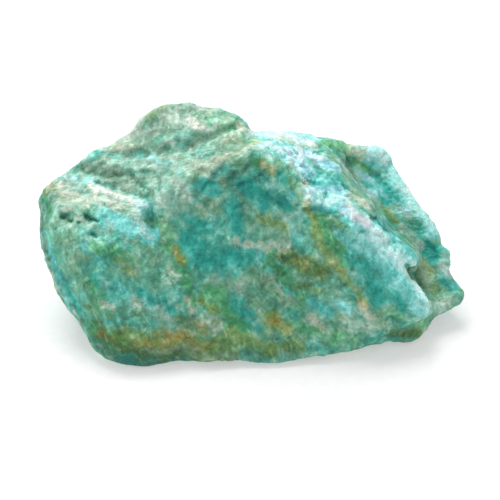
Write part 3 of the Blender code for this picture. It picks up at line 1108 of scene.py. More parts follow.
@dataclass(frozen=True)
class PaperFinish:
    """A sheet of matt white paper.

    Attributes:
        white: Its colour.
        fibre: The colour of its fibres.
        fibre_size: Their size, in millimetres.
        relief: Their height, in millimetres.
        glow: Light that comes through it from below.
    """

    white: Color = (0.52, 0.52, 0.52)
    fibre: Color = (0.50, 0.50, 0.505)
    fibre_size: float = 1.2
    relief: float = 0.02
    glow: float = 0.41

    def material(self, effects: EffectShelf) -> bpy.types.Material:
        """The material.

        Args:
            effects: The shared effects.

        Returns:
            The material.
        """
        made = bpy.data.materials.new("white_paper")
        made.use_nodes = True
        wiring = Wiring(made.node_tree)
        shader = made.node_tree.nodes["Principled BSDF"]
        place = wiring.place()
        grain = wiring.group(effects[Effect.GRAIN], place=place, size=self.fibre_size, sharpness=0.1)
        tone = wiring.blend(grain.outputs["Gloss"], self.white, self.fibre)
        inputs = {"Height": grain.outputs["Height"], "Strength": 0.05, "Distance": self.relief * MM}
        wiring.join(tone, shader.inputs["Base Color"])
        wiring.join(wiring.add("ShaderNodeBump", inputs).outputs[0], shader.inputs["Normal"])
        shader.inputs["Roughness"].default_value = 0.95
        shader.inputs["Specular IOR Level"].default_value = 0.0
        shader.inputs["Emission Color"].default_value = (1.0, 1.0, 1.0, 1.0)
        shader.inputs["Emission Strength"].default_value = self.glow
        return made


def band(distance: np.ndarray) -> np.ndarray:
    """1 at no distance, falling smoothly to 0 at a distance of 1."""
    near = np.clip(1.0 - distance, 0.0, 1.0)
    return near * near * (3.0 - 2.0 * near)


def rough(place: Vector, fall: float, octaves: int) -> float:
    """Noise about zero that gets twice as fine with each octave, and lower the more, the larger its fall."""
    return noise.fractal(place, fall, 2.0, octaves)


@dataclass(frozen=True)
class TornEdges:
    """How noise moves the marks' edges, in millimetres.

    Attributes:
        wide_size: Size of the wide sway.
        wide: How far it goes.
        fine_size: Size of the fine sway.
        fine: How far it goes.
        sharp_size: Size of the jitter of ridges, grooves and pits.
        sharp: How far it goes.
        full_reach: The reach from which a mark sways in full.
        fade: Where a soft mark ends, against its reach.
    """

    wide_size: float = 2.6
    wide: float = 0.7
    fine_size: float = 0.9
    fine: float = 0.3
    sharp_size: float = 1.4
    sharp: float = 0.35
    full_reach: float = 1.6
    fade: float = 1.5

    def sway(self, place: Vector) -> Vector:
        """How a soft mark's edge moves at a place."""
        wide = noise.noise_vector(place / self.wide_size) * self.wide
        return wide + noise.noise_vector(place / self.fine_size) * self.fine

    def jitter(self, place: Vector) -> Vector:
        """How a sharp mark's edge moves at a place."""
        return noise.noise_vector(place / self.sharp_size) * self.sharp


@dataclass(frozen=True)
class Relief:
    """The broken relief, in millimetres: the size of each form, and how far it stands out.

    Attributes:
        wave_size: Size of the low waves.
        waves: Their height.
        worn: How much of them is gone where the stone is worn.
        coarse_size: Size of the coarse splinters.
        coarse: Their height everywhere, on hackly faces and on the bench.
        small_size: Size of the small splinters.
        small: Their height everywhere, on hackly faces and on the bench.
        small_offset: Moves the small splinters, so that they differ from the coarse ones.
        step_up: How far each splinter stands above or below the others, against its tilt.
        scatter: Spreads the splinters in the noise, so that neighbours get tilts and heights of their own.
        layer: Thickness of a thin layer.
        bedding: The direction across the layers.
        layer_wave: Size of the layers' waves.
        layer_bend: How far they wave, in layers.
        riser: How much of a layer its worn edge takes.
        steps: Height of the layers' steps everywhere and on the shelves.
        lift: What the whole surface gains, so that the relief doesn't shrink it.
        swell: Height of a swelling.
        ridge: Height of a ridge.
        groove: Depth of a groove.
        pit: Depth of a pit.
        foot: Height above the floor over which the relief sets in.
    """

    wave_size: float = 1.9
    waves: float = 0.15
    worn: float = 0.6
    coarse_size: float = 2.1
    coarse: Triple = (0.12, 1.05, 0.30)
    small_size: float = 0.8
    small: Triple = (0.10, 0.16, 0.26)
    small_offset: float = 31.0
    step_up: float = 0.35
    scatter: tuple[float, float] = (7.31, 5.17)
    layer: float = 0.9
    bedding: Triple = (-0.42, -0.30, 0.86)
    layer_wave: float = 3.0
    layer_bend: float = 0.9
    riser: float = 0.3
    steps: tuple[float, float] = (0.05, 0.38)
    lift: float = 0.08
    swell: float = 0.60
    ridge: float = 0.55
    groove: float = 0.60
    pit: float = 0.45
    foot: float = 0.6

    def splinter(self, place: Vector, size: float) -> float:
        """Small broken facets, each tilted its own way.

        Args:
            place: The place, in millimetres.
            size: The facets' size.

        Returns:
            The height at the place, about zero.
        """
        _, centres = noise.voronoi(place / size)
        centre = centres[0]
        for_tilt, for_height = self.scatter
        tilt = noise.noise_vector(centre * for_tilt)
        return tilt.dot(place / size - centre) + self.step_up * noise.noise(centre * for_height)

    def ledge(self, place: Vector) -> float:
        """Worn steps between thin layers.

        Args:
            place: The place, in millimetres.

        Returns:
            The height at the place, as a share of a step.
        """
        bend = self.layer_bend * rough(place / self.layer_wave, 1.0, 2)
        level = place.dot(Vector(self.bedding)) / self.layer + bend
        step = level - math.floor(level)
        return min(1.0, step / self.riser) - step


@dataclass
class BrokenSurface:
    """The stone's surface as a mesh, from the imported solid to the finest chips.

    Attributes:
        view: The view that the marks are placed in.
        marks: Where the layers show.
        drifts: The layers on the faces that look away.
        edges: How the marks' edges are torn.
        relief: The forms of the relief.
        voxel: Edge of the fine mesh's facets, in millimetres.
        rounds: Smoothing rounds that take the solid's facets away.
        turn: How far a face turns while a drift sets in.
        drift_edge: How gradual the edges of a drift's patches are.
        shape_rounds: Smoothing rounds that crests and hollows are measured against.
        shape_height: How far a full crest or hollow stands off, in millimetres.
        layers: Each layer's values at the mesh's points.
    """

    view: Viewfinder
    marks: dict[Layer, tuple[Mark, ...]]
    drifts: tuple[Drift, ...]
    edges: TornEdges = TornEdges()
    relief: Relief = Relief()
    voxel: float = 0.23
    rounds: int = 3
    turn: float = 0.3
    drift_edge: float = 0.12
    shape_rounds: int = 14
    shape_height: float = 0.12
    layers: dict[Layer, np.ndarray] = field(default_factory=dict)

    def build(self) -> bpy.types.Object:
        """Makes the stone.

        Returns:
            The stone as a new object, with a value for each layer at each point.
        """
        mesh = self.finer(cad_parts[NODE].data)
        tree = BVHTree.FromPolygons([v.co for v in mesh.vertices], [p.vertices for p in mesh.polygons])
        places = self.triples(mesh.vertices, "co").astype(float) / MM
        normals = self.triples(mesh.vertex_normals, "vector").astype(float)
        self.mark_layers(tree, places)
        self.mark_far_sides(places, normals)
        footing = np.clip(places[:, 2] / self.relief.foot, 0.0, 1.0)
        moved = places + normals * (self.heights(places) * footing)[:, None]
        moved[:, 2] = np.maximum(moved[:, 2], 0.0)
        mesh.vertices.foreach_set("co", (moved * MM).astype(np.float32).ravel())
        mesh.update()
        self.mark_shape(mesh, moved)
        for layer, values in self.layers.items():
            stored = mesh.attributes.new(layer.value, "FLOAT", "POINT")
            stored.data.foreach_set("value", values.astype(np.float32))
        mesh.shade_smooth()
        stone = bpy.data.objects.new(PIECE, mesh)
        bpy.context.scene.collection.objects.link(stone)
        return stone

    def finer(self, solid: bpy.types.Mesh) -> bpy.types.Mesh:
        """The solid's mesh with small even facets.

        Args:
            solid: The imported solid's mesh, which stays as it is.

        Returns:
            A new mesh.
        """
        helper = bpy.data.objects.new("helper", solid.copy())
        bpy.context.scene.collection.objects.link(helper)
        remesh = helper.modifiers.new("remesh", "REMESH")
        remesh.mode = "VOXEL"
        remesh.voxel_size = self.voxel * MM
        smooth = helper.modifiers.new("smooth", "SMOOTH")
        smooth.factor = 0.5
        smooth.iterations = self.rounds
        graph = bpy.context.evaluated_depsgraph_get()
        made = bpy.data.meshes.new_from_object(helper.evaluated_get(graph))
        bpy.data.objects.remove(helper)
        made.materials.clear()
        made.name = PIECE
        return made

    def triples(self, items: Any, name: str) -> np.ndarray:
        """A vector of each item of a mesh, as one row for each.

        Args:
            items: The mesh's points or normals.
            name: The vector's name.

        Returns:
            The rows.
        """
        flat = np.empty(len(items) * 3, np.float32)
        items.foreach_get(name, flat)
        return flat.reshape(-1, 3)

    def each(self, places: np.ndarray, of: Callable[[Vector], Any]) -> np.ndarray:
        """A value or a vector for each point."""
        return np.array([of(Vector(p)) for p in places])

    def mark_layers(self, tree: BVHTree, places: np.ndarray) -> None:
        """Gives each layer its value at each point.

        Args:
            tree: The surface, in metres.
            places: The points, in millimetres.
        """
        sway = self.each(places, self.edges.sway)
        jitter = self.each(places, self.edges.jitter)
        for layer in Layer:
            self.layers[layer] = np.zeros(len(places))
        for layer, marks in self.marks.items():
            sharp = layer in SHARP_LAYERS
            for mark in marks:
                loose = places + (jitter if sharp else sway * min(1.0, mark.reach / self.edges.full_reach))
                spots = [np.array(self.view.find(tree, spot)) for spot in mark.path]
                away = mark.distance(spots, loose) / mark.reach
                value = np.clip(1.0 - away, 0.0, 1.0) if sharp else band(away / self.edges.fade)
                self.layers[layer] = np.maximum(self.layers[layer], mark.strength * value)

    def mark_far_sides(self, places: np.ndarray, normals: np.ndarray) -> None:
        """Gives the faces that look away from the front their own patches of each layer.

        Args:
            places: The points, in millimetres.
            normals: The direction that the surface faces at each point.
        """
        facing = normals @ np.array(self.view.back)
        for number, drift in enumerate(self.drifts):
            shift = Vector((17.0 * number, 5.0, 9.0 * number))  # gives each drift a cloud of its own
            cloud = self.each(places, lambda p: rough(p / drift.size + shift, 1.0, 2))
            away = band(np.clip((facing + drift.turned) / self.turn, 0.0, 1.0))
            rare = drift.level + self.drift_edge - cloud
            value = band(np.clip(rare / (2.0 * self.drift_edge), 0.0, 1.0))
            self.layers[drift.layer] = np.maximum(self.layers[drift.layer], drift.strength * value * away)

    def heights(self, places: np.ndarray) -> np.ndarray:
        """How far each point stands out.

        Args:
            places: The points, in millimetres.

        Returns:
            The heights, in millimetres.
        """
        form = self.relief
        layers = self.layers
        heights = form.waves * self.each(places, lambda p: rough(p / form.wave_size, 0.8, 4))
        heights *= 1.0 - form.worn * layers[Layer.WORN]
        coarse = self.each(places, lambda p: form.splinter(p, form.coarse_size))
        small = self.each(places + form.small_offset, lambda p: form.splinter(p, form.small_size))
        for splinters, (everywhere, hackly, bench) in ((coarse, form.coarse), (small, form.small)):
            heights += (everywhere + hackly * layers[Layer.HACKLE] + bench * layers[Layer.BENCH]) * splinters
        everywhere, shelved = form.steps
        heights += (everywhere + shelved * layers[Layer.SHELVES]) * self.each(places, form.ledge)
        heights += form.lift + form.swell * layers[Layer.SWELL]
        heights += form.ridge * layers[Layer.RIDGE]
        heights -= form.groove * layers[Layer.GROOVE]
        heights -= form.pit * layers[Layer.PIT]
        return heights

    def mark_shape(self, mesh: bpy.types.Mesh, places: np.ndarray) -> None:
        """Marks the crests and hollows, by how far each point stands off its smoothed surroundings, for the
        painted highlight on the crests and the painted shade in the hollows.

        Args:
            mesh: The broken mesh.
            places: Its points, in millimetres.
        """
        edges = np.empty(len(mesh.edges) * 2, np.int32)
        mesh.edges.foreach_get("vertices", edges)
        first, second = edges.reshape(-1, 2).T
        count = np.bincount(edges, minlength=len(places))[:, None]
        smooth = places.copy()
        for _ in range(self.shape_rounds):
            total = np.zeros_like(smooth)
            np.add.at(total, first, smooth[second])
            np.add.at(total, second, smooth[first])
            smooth = 0.5 * smooth + 0.5 * total / count
        proud = ((places - smooth) * self.triples(mesh.vertex_normals, "vector")).sum(axis=1)
        self.layers[Layer.CREST_HIGHLIGHT] = np.clip(proud / self.shape_height, 0.0, 1.0)
        self.layers[Layer.HOLLOW_SHADE] = np.clip(-proud / self.shape_height, 0.0, 1.0)


STONE_MARKS: dict[Layer, tuple[Mark, ...]] = {
    Layer.HACKLE: (
        Mark("far ridge", ((268, 142), (312, 156)), 2.4, 0.7),
        Mark("upper broken slope", ((285, 160), (335, 195)), 3.0),
        Mark("lower broken slope", ((330, 200), (372, 228)), 1.8, 0.9),
        Mark("crest of the near facet", ((375, 234), (412, 268)), 1.2, 0.6),
    ),
    Layer.BENCH: (Mark("bench", ((62, 190), (142, 202)), 2.4),),
    Layer.SHELVES: (
        Mark("middle slope", ((110, 165), (235, 165)), 3.6),
        Mark("boulder", ((150, 130), (225, 125)), 2.4, 0.3),
    ),
    Layer.SWELL: (
        Mark("far rim", ((318, 147), (345, 152), (385, 156)), 2.0, 0.9),
        Mark("right edge", ((394, 165), (412, 192), (436, 232)), 1.2, 0.5),
        Mark("bump before the lip", ((445, 256), (447, 262)), 1.0, 1.0),
        Mark("lip", ((440, 308), (459, 295)), 1.2, 0.6),
        Mark("bottom right", ((325, 350), (380, 340)), 1.2, 0.4),
        Mark("sheet of the near facet", ((348, 226), (380, 250), (404, 290)), 2.2, 0.5),
    ),
    Layer.RIDGE: (
        Mark("brow line", ((196, 168), (222, 162), (252, 151)), 0.9, 0.35),
        Mark("front ridge", ((268, 147), (285, 159), (296, 174), (302, 188), (308, 204)), 0.8, 0.8),
        Mark("near ridge", ((306, 204), (318, 228), (334, 256), (364, 300)), 1.2, 0.4),
        Mark("ledge", ((303, 190), (325, 193), (346, 204), (368, 225)), 1.0, 0.9),
        Mark("crest of the near facet", ((372, 230), (391, 239), (412, 262)), 1.0, 0.8),
        Mark("corner of the near facet", ((413, 284), (426, 306)), 0.8, 0.7),
        Mark("fold above the bench", ((108, 162), (134, 170), (150, 186)), 0.9, 0.6),
        Mark("edge of the bench", ((62, 178), (96, 189), (120, 197), (146, 205)), 0.8, 0.4),
        Mark("pale rib", ((157, 212), (163, 196), (178, 178)), 0.8, 0.4),
        Mark("rib under the boulder", ((150, 158), (186, 158), (214, 148)), 0.8, 0.4),
        Mark("wedge edge", ((216, 142), (236, 133), (250, 131)), 0.6, 0.4),
    ),
    Layer.GROOVE: (
        Mark("fold by the outline", ((80, 168), (104, 175), (130, 172)), 1.0, 0.8),
        Mark("groove above the bench", ((98, 184), (124, 190), (148, 197)), 0.7, 0.7),
        Mark("foot of the boulder", ((118, 150), (140, 154), (162, 150), (186, 149)), 0.8, 0.6),
        Mark("crease under the boulder", ((184, 148), (206, 140), (236, 127)), 0.8, 0.5),
        Mark("crack", ((150, 188), (148, 204), (153, 222)), 0.5, 0.15),
        Mark("gap below the ledge", ((306, 208), (336, 216), (366, 232)), 0.8, 0.6),
        Mark("foot of the terrace", ((345, 175), (366, 205), (385, 225), (402, 245)), 0.8, 0.2),
        Mark("crevice", ((409, 266), (412, 282)), 0.8, 1.4),
        Mark("lip", ((425, 296), (444, 300)), 0.6, 0.5),
        Mark("fold on the lobe", ((388, 318), (406, 322)), 0.6, 0.6),
    ),
    Layer.PIT: (
        Mark("left hollow", ((62, 217), (70, 221), (78, 223)), 0.24, 1.0),
        Mark("middle hollow", ((86, 217), (90, 221), (98, 222)), 0.26, 1.0),
        Mark("small hollow", ((92, 235), (97, 237)), 0.24, 0.7),
        Mark("crevice", ((411, 268), (412, 280)), 0.6, 1.2),
    ),
    # Bleached crust, and painted highlight: lit rims, ridges, ledges and the bench are made paler where light
    # falls.
    Layer.PALE: (
        Mark("bench", ((78, 196), (140, 204)), 1.8, 0.4),
        Mark("edge of the bench", ((62, 180), (95, 176)), 1.0, 0.4),
        Mark("right of the bench", ((108, 197), (142, 208)), 1.5, 0.85),
        Mark("beside the crack", ((138, 222), (149, 238)), 1.1, 0.8),
        Mark("under the bench", ((66, 228), (92, 232)), 1.4, 0.35),
        Mark("drop under the bench", ((118, 222), (146, 230)), 1.4, 0.35),
        Mark("middle slope", ((112, 160), (160, 166), (182, 166)), 1.8, 0.35),
        Mark("slope by the crack", ((160, 192), (172, 224)), 1.8, 0.45),
        Mark("boulder", ((132, 138), (160, 124), (190, 128)), 1.6, 0.25),
        Mark("boulder shoulder", ((208, 122), (236, 130)), 1.4, 0.7),
        Mark("spot on the boulder", ((190, 121), (202, 126)), 0.7, 1.1),
        Mark("corner of the brow", ((238, 128), (251, 136)), 1.0, 0.6),
        Mark("top of the boulder", ((200, 108), (214, 114)), 0.8, 0.4),
        Mark("far ridge", ((254, 131), (288, 137), (306, 144)), 1.8, 1.4),
        Mark("upper broken slope", ((292, 148), (308, 168)), 1.4, 0.6),
        Mark("top of the broken slope", ((274, 143), (288, 154), (300, 168)), 1.3, 0.9),
        Mark("lower broken slope", ((304, 186), (326, 192)), 0.9, 0.5),
        Mark("foot of the ridge", ((300, 198), (312, 208)), 0.9, 0.5),
        Mark("lavender patch", ((300, 150), (318, 158)), 1.0, 1.15),
        Mark("ledge", ((348, 212), (364, 223)), 0.9, 1.3),
        Mark("mint ledge", ((306, 197), (338, 201)), 1.1, 1.3),
        Mark("crest of the near facet", ((372, 234), (390, 252), (408, 272)), 1.3, 1.4),
        Mark("middle of the near facet", ((378, 244), (388, 252)), 1.1, 0.8),
        Mark("corner of the near facet", ((410, 282), (424, 306)), 1.3, 1.15),
        Mark("near facet", ((354, 236), (384, 254)), 1.7, 0.85),
        Mark("low near facet", ((360, 266), (388, 296)), 1.8, 0.3),
        Mark("top of the terrace", ((366, 151), (392, 158)), 1.0, 0.9),
        Mark("back of the terrace", ((346, 154), (366, 160)), 1.0, 1.0),
        Mark("behind the slope", ((354, 182), (370, 196)), 1.0, 0.35),
        Mark("edge of the terrace", ((392, 168), (412, 206)), 1.1, 0.85),
        Mark("lower edge of the terrace", ((406, 200), (436, 240)), 0.8, 0.5),
        Mark("ridge line", ((262, 143), (286, 158), (296, 172), (302, 186), (308, 202)), 0.7, 1.1),
        Mark("head of the ridge", ((256, 144), (268, 154)), 1.1, 0.8),
        Mark("pool under the brow", ((205, 184), (213, 189)), 0.9, 0.55),
        Mark("emerald spot", ((280, 175), (285, 180)), 0.7, 0.4),
        Mark("below the emerald spot", ((280, 184), (292, 198)), 1.3, 0.85),
        Mark("end of the terrace", ((422, 264), (450, 274)), 1.3, 0.9),
        Mark("corner of the terrace", ((424, 244), (438, 260)), 1.2, 0.35),
        Mark("light spots of the front", ((256, 246), (285, 246)), 1.0, 0.6),
        Mark("foot of the near facet", ((378, 284), (392, 294)), 1.0, 0.6),
        Mark("right of the vein", ((336, 262), (350, 274)), 1.0, 0.45),
        Mark("low patch", ((264, 318), (290, 330)), 1.0, 0.4),
        Mark("low middle of the foot", ((216, 324), (232, 334)), 1.0, 0.45),
        Mark("light spot below the heart", ((238, 266), (246, 280)), 1.1, 0.55),
        Mark("middle of the left slope", ((82, 234), (100, 246)), 1.0, 0.3),
        Mark("boulder right of the spot", ((204, 128), (216, 134)), 0.8, 0.4),
        Mark("slope by the pools", ((176, 148), (188, 152)), 0.9, 0.5),
        Mark("upper left slope", ((94, 188), (110, 193)), 1.0, 0.9),
        Mark("left of the pools", ((178, 184), (188, 196)), 1.1, 0.6),
        Mark("light patch below the pool", ((262, 206), (288, 212), (306, 208)), 1.0, 0.4),
        Mark("right of the front", ((340, 304), (350, 314)), 1.1, 0.5),
        Mark("grey of the terrace", ((340, 164), (362, 172), (380, 186)), 1.0, 0.55),
        Mark("lower edge of the terrace wall", ((396, 204), (410, 216)), 1.0, 0.6),
        Mark("right of the foot of the facet", ((416, 306), (440, 306)), 1.0, 0.6),
        Mark("right of the lobe", ((418, 318), (426, 330)), 0.9, 0.6),
        Mark("low middle of the front", ((296, 302), (312, 314)), 1.0, 0.5),
        Mark("low left", ((84, 326), (108, 330)), 1.0, 0.35),
        Mark("grey spot of the front", ((286, 222), (298, 236)), 0.9, 0.3),
        Mark("crown of the broken slope", ((262, 142), (276, 148), (298, 154)), 1.5, 1.25),
        Mark("low right", ((348, 322), (370, 328)), 1.2, 0.5),
        Mark("bottom right", ((300, 344), (320, 342)), 1.0, 0.3),
        Mark("wall of the terrace", ((354, 180), (372, 190)), 1.0, 0.3),
        Mark("low middle", ((158, 314), (176, 326)), 1.2, 0.3),
        Mark("right of the head of the ridge", ((280, 148), (292, 158)), 1.1, 1.1),
        Mark("back of the crack", ((134, 202), (148, 210)), 1.0, 1.1),
        Mark("below the bench", ((98, 240), (112, 246)), 0.9, 0.35),
        Mark("face of the ridge", ((262, 149), (274, 154), (286, 163)), 0.9, 1.3),
        Mark("green rim", ((326, 149), (342, 153)), 0.8, 0.25),
        Mark("green of the ridge", ((294, 184), (300, 198)), 0.7, 0.8),
        Mark("back of the far ridge", ((286, 131), (302, 135), (314, 142)), 0.9, 0.9),
        Mark("right of the emerald spot", ((288, 166), (296, 176)), 0.8, 0.6),
        Mark("left of the terrace", ((336, 164), (350, 178)), 0.8, 0.35),
        Mark("right end of the terrace wall", ((416, 256), (428, 264)), 0.8, 0.5),
        Mark("end olive of the terrace", ((416, 266), (428, 278)), 0.9, 0.5),
        Mark("left slope of the pools", ((178, 238), (188, 252)), 0.9, 0.35),
    ),
    # Deep colour, and painted shade: the foot, the bottom edge, the lobe's underside, creases, crevices and
    # hollows are darkened where shade falls.
    Layer.DEEP: (
        Mark("head of the front face", ((236, 182), (285, 198)), 1.8, 0.65),
        Mark("heart of the front face", ((180, 226), (214, 270), (242, 262)), 2.6, 0.2),
        Mark("left front", ((84, 268), (96, 304)), 1.4, 0.6),
        Mark("below the heart", ((184, 268), (192, 300)), 1.2, 0.4),
        Mark("foot of the heart", ((202, 264), (226, 270)), 1.1, 0.45),
        Mark("under the crest", ((370, 266), (388, 276)), 1.0, 0.5),
        Mark("left slope", ((100, 262), (120, 250), (130, 256)), 1.3, 0.5),
        Mark("low left of the pools", ((60, 236), (74, 242)), 1.0, 0.4),
        Mark("right of the pools", ((240, 212), (248, 226)), 1.0, 0.15),
        Mark("low vein", ((296, 244), (312, 252)), 1.1, 0.5),
        Mark("below the ledge", ((338, 206), (352, 212)), 0.7, 0.5),
        Mark("right of the mint ledge", ((346, 224), (356, 236)), 1.0, 0.4),
        Mark("end of the terrace", ((420, 286), (446, 288)), 1.0, 0.6),
        Mark("right of the heart", ((234, 200), (242, 236)), 1.2, 0.4),
        Mark("left edge", ((43, 210), (44, 250), (52, 288)), 1.8, 0.85),
        Mark("low left edge", ((60, 290), (74, 318), (90, 342)), 1.2, 0.6),
        Mark("foot", ((100, 338), (118, 354), (165, 361)), 2.6, 1.5),
        Mark("right of the foot", ((165, 350), (225, 350)), 2.0, 0.65),
        Mark("low front", ((120, 328), (230, 330)), 2.4, 0.3),
        Mark("bottom edge", ((165, 361), (290, 356)), 1.4, 0.7),
        Mark("right of the bottom edge", ((300, 354), (380, 345)), 1.1, 0.35),
        Mark("right of the vein", ((318, 235), (344, 276)), 1.4, 0.35),
        Mark("left of the low left", ((84, 304), (112, 314)), 1.0, 0.35),
        Mark("above the low patch", ((296, 282), (326, 290)), 1.0, 0.35),
        Mark("left of the ledge", ((296, 226), (312, 234)), 0.8, 0.3),
        Mark("gap by the ledge", ((338, 226), (352, 236)), 0.8, 0.35),
        Mark("between the hollows", ((80, 228), (108, 232)), 0.8, 0.3),
        Mark("pocket of the slope", ((318, 168), (332, 184)), 0.9, 0.5),
        Mark("patch left of the vein", ((288, 256), (320, 272)), 1.4, 0.75),
        Mark("vein", ((314, 238), (338, 272)), 0.8, 0.35),
        Mark("low middle front", ((252, 290), (280, 315)), 1.6, 0.45),
        Mark("under the brow", ((212, 179), (232, 169), (254, 162)), 0.7, 0.4),
        Mark("green front", ((270, 255), (300, 300)), 2.2, 0.5),
        Mark("under the ledge", ((318, 216), (348, 234)), 0.9, 0.6),
        Mark("dark line of the terrace", ((350, 164), (388, 170)), 0.7, 0.3),
        Mark("foot of the terrace wall", ((376, 208), (390, 220)), 0.9, 0.1),
        Mark("underside of the lobe", ((388, 336), (420, 337)), 0.9, 0.9),
        Mark("crease under the boulder", ((186, 146), (222, 134)), 0.6, 0.4),
        Mark("crease by the bench", ((128, 170), (150, 192)), 0.8, 0.35),
        Mark("crack by the bench", ((151, 208), (153, 218)), 0.3, 0.3),
        Mark("wedge", ((226, 137), (248, 143)), 0.9, 0.55),
        Mark("strip of the brow", ((212, 160), (232, 153), (252, 147)), 0.9, 0.4),
        Mark("crevice", ((408, 268), (412, 282)), 0.6, 1.2),
        Mark("left hollow", ((62, 217), (70, 221), (78, 223)), 0.20, 1.5),
        Mark("middle hollow", ((86, 217), (90, 221), (98, 222)), 0.22, 1.5),
        Mark("small hollow", ((92, 235), (97, 237)), 0.16, 1.2),
        Mark("gap under the ledge", ((333, 222), (352, 228)), 0.5, 0.6),
        Mark("shaded slope", ((84, 168), (128, 182)), 1.1, 0.45),
        Mark("right front", ((308, 302), (334, 316)), 1.2, 0.4),
        Mark("wall by the near facet", ((400, 240), (412, 252)), 0.7, 0.5),
        Mark("right of the bottom", ((248, 320), (262, 332)), 0.9, 0.5),
        Mark("beside the foot", ((196, 322), (214, 330)), 1.0, 0.45),
        Mark("bump before the lip", ((436, 242), (444, 252)), 0.8, 0.45),
        Mark("below the pool", ((236, 204), (248, 212)), 0.9, 0.3),
        Mark("knob", ((38, 188), (50, 192)), 0.9, 0.6),
        Mark("foot of the terrace", ((380, 222), (392, 234)), 0.7, 0.4),
        Mark("lip", ((428, 300), (454, 293)), 0.8, 0.2),
        Mark("upper end of the near facet", ((358, 238), (370, 252)), 0.9, 0.35),
        Mark("pocket by the ledge", ((314, 184), (326, 192)), 0.7, 0.4),
        Mark("foot of the terrace edge", ((378, 218), (392, 228)), 0.7, 0.35),
        Mark("edge of the brow", ((226, 152), (252, 154)), 0.8, 0.35),
    ),
    Layer.TEAL: (
        Mark("pool under the brow", ((205, 184), (214, 190)), 0.9, 1.3),
        Mark("deep pool", ((246, 184), (264, 200)), 1.4, 1.1),
        Mark("left of the pools", ((188, 218), (204, 228)), 1.1, 0.9),
        Mark("heart of the front face", ((190, 240), (206, 266), (244, 256)), 2.2, 0.8),
        Mark("beside the ridge", ((280, 200), (288, 208)), 0.7),
        Mark("emerald spot", ((279, 174), (286, 181)), 0.8, 0.75),
        Mark("drop under the bench", ((112, 220), (130, 228)), 1.0, 0.8),
        Mark("lower left", ((146, 292), (174, 322)), 1.4, 0.8),
        Mark("left front", ((84, 262), (98, 284)), 1.2, 0.5),
        Mark("right of the heart", ((232, 204), (242, 248)), 1.3, 0.9),
        Mark("terrace end", ((420, 240), (434, 254)), 1.5),
        Mark("lip", ((440, 282), (452, 290)), 1.0, 0.7),
        Mark("terrace", ((380, 180), (388, 200)), 1.3, 1.0),
        Mark("middle of the terrace", ((396, 212), (410, 226)), 0.9, 0.5),
        Mark("blue spot of the terrace", ((362, 176), (372, 182)), 0.7, 0.9),
        Mark("near facet", ((352, 252), (368, 276), (378, 300)), 1.8, 0.7),
        Mark("foot of the near facet", ((384, 285), (402, 306)), 1.4, 0.7),
        Mark("under the boulder", ((150, 153), (182, 148)), 0.8, 0.45),
        Mark("shaded slope", ((86, 158), (108, 150)), 0.9, 0.6),
        Mark("low front", ((232, 296), (256, 322)), 1.6, 0.6),
        Mark("left edge", ((58, 275), (78, 310)), 1.2, 0.7),
        Mark("pocket in the broken slope", ((311, 178), (321, 188)), 0.75, 1.0),
        Mark("upper pocket", ((288, 152), (297, 158)), 0.6, 1.0),
        Mark("pocket by the terrace", ((337, 177), (346, 188)), 0.75, 0.9),
        Mark("right front", ((312, 303), (330, 312)), 1.0, 0.6),
        Mark("under the mint ledge", ((322, 207), (336, 212)), 0.7, 0.9),
    ),
    Layer.LEAF: (
        Mark("emerald spot", ((279, 173), (286, 182)), 0.9, 1.3),
        Mark("above the pools", ((256, 162), (276, 170)), 0.9, 0.8),
        Mark("below the heart", ((182, 264), (190, 300)), 1.2, 0.7),
        Mark("left slope", ((88, 276), (100, 306)), 1.2, 0.6),
        Mark("below the bench", ((116, 246), (132, 258)), 1.1, 0.6),
        Mark("left front", ((96, 244), (116, 254)), 1.2, 0.6),
        Mark("low front", ((212, 292), (240, 330)), 2.0, 0.8),
        Mark("terrace rim", ((324, 148), (346, 154)), 0.9, 1.4),
        Mark("terrace back", ((352, 164), (388, 171)), 0.8, 0.65),
        Mark("knob", ((44, 194), (48, 212)), 0.9, 0.7),
        Mark("boulder shoulder", ((204, 118), (238, 128)), 1.4, 0.55),
        Mark("right of the vein", ((318, 222), (345, 262)), 1.4, 0.8),
        Mark("foot", ((96, 325), (120, 345)), 1.5, 0.8),
        Mark("left edge", ((50, 230), (60, 262)), 1.0, 0.4),
        Mark("middle front", ((270, 262), (292, 300)), 2.0, 0.8),
        Mark("lip", ((434, 268), (456, 290)), 1.2, 0.5),
        Mark("lobe", ((388, 312), (424, 322)), 1.0, 0.8),
        Mark("low right front", ((292, 322), (350, 340)), 1.4, 0.6),
        Mark("far left slope", ((158, 226), (176, 246)), 1.4, 0.6),
        Mark("green of the ridge", ((294, 184), (300, 198)), 0.7, 0.8),
    ),
    Layer.SKY: (
        Mark("under the bench", ((104, 218), (146, 236)), 1.6, 0.95),
        Mark("crest of the near facet", ((372, 230), (392, 240), (412, 262)), 1.6, 1.5),
        Mark("near facet", ((352, 232), (378, 250), (396, 272)), 1.9, 1.3),
        Mark("corner of the near facet", ((400, 280), (424, 305)), 1.6, 1.4),
        Mark("mint ledge", ((306, 196), (345, 204)), 1.2, 1.3),
        Mark("right front", ((310, 302), (332, 312)), 1.1, 0.6),
        Mark("left front", ((84, 246), (100, 260)), 0.9, 0.5),
        Mark("left edge", ((46, 235), (54, 266), (62, 290)), 1.0, 0.8),
        Mark("far edge of the left", ((54, 280), (66, 300)), 0.9, 0.6),
        Mark("broken slope", ((284, 148), (310, 172), (340, 198)), 1.9, 1.1),
        Mark("top of the broken slope", ((262, 137), (276, 146), (290, 158), (300, 172)), 1.4, 1.4),
        Mark("top of the terrace", ((364, 151), (392, 158)), 1.2, 1.4),
        Mark("edge of the terrace", ((394, 168), (412, 206)), 1.3, 1.1),
        Mark("lower edge of the terrace", ((408, 202), (434, 236)), 0.9, 0.7),
        Mark("middle slope", ((136, 156), (182, 168)), 1.0, 0.6),
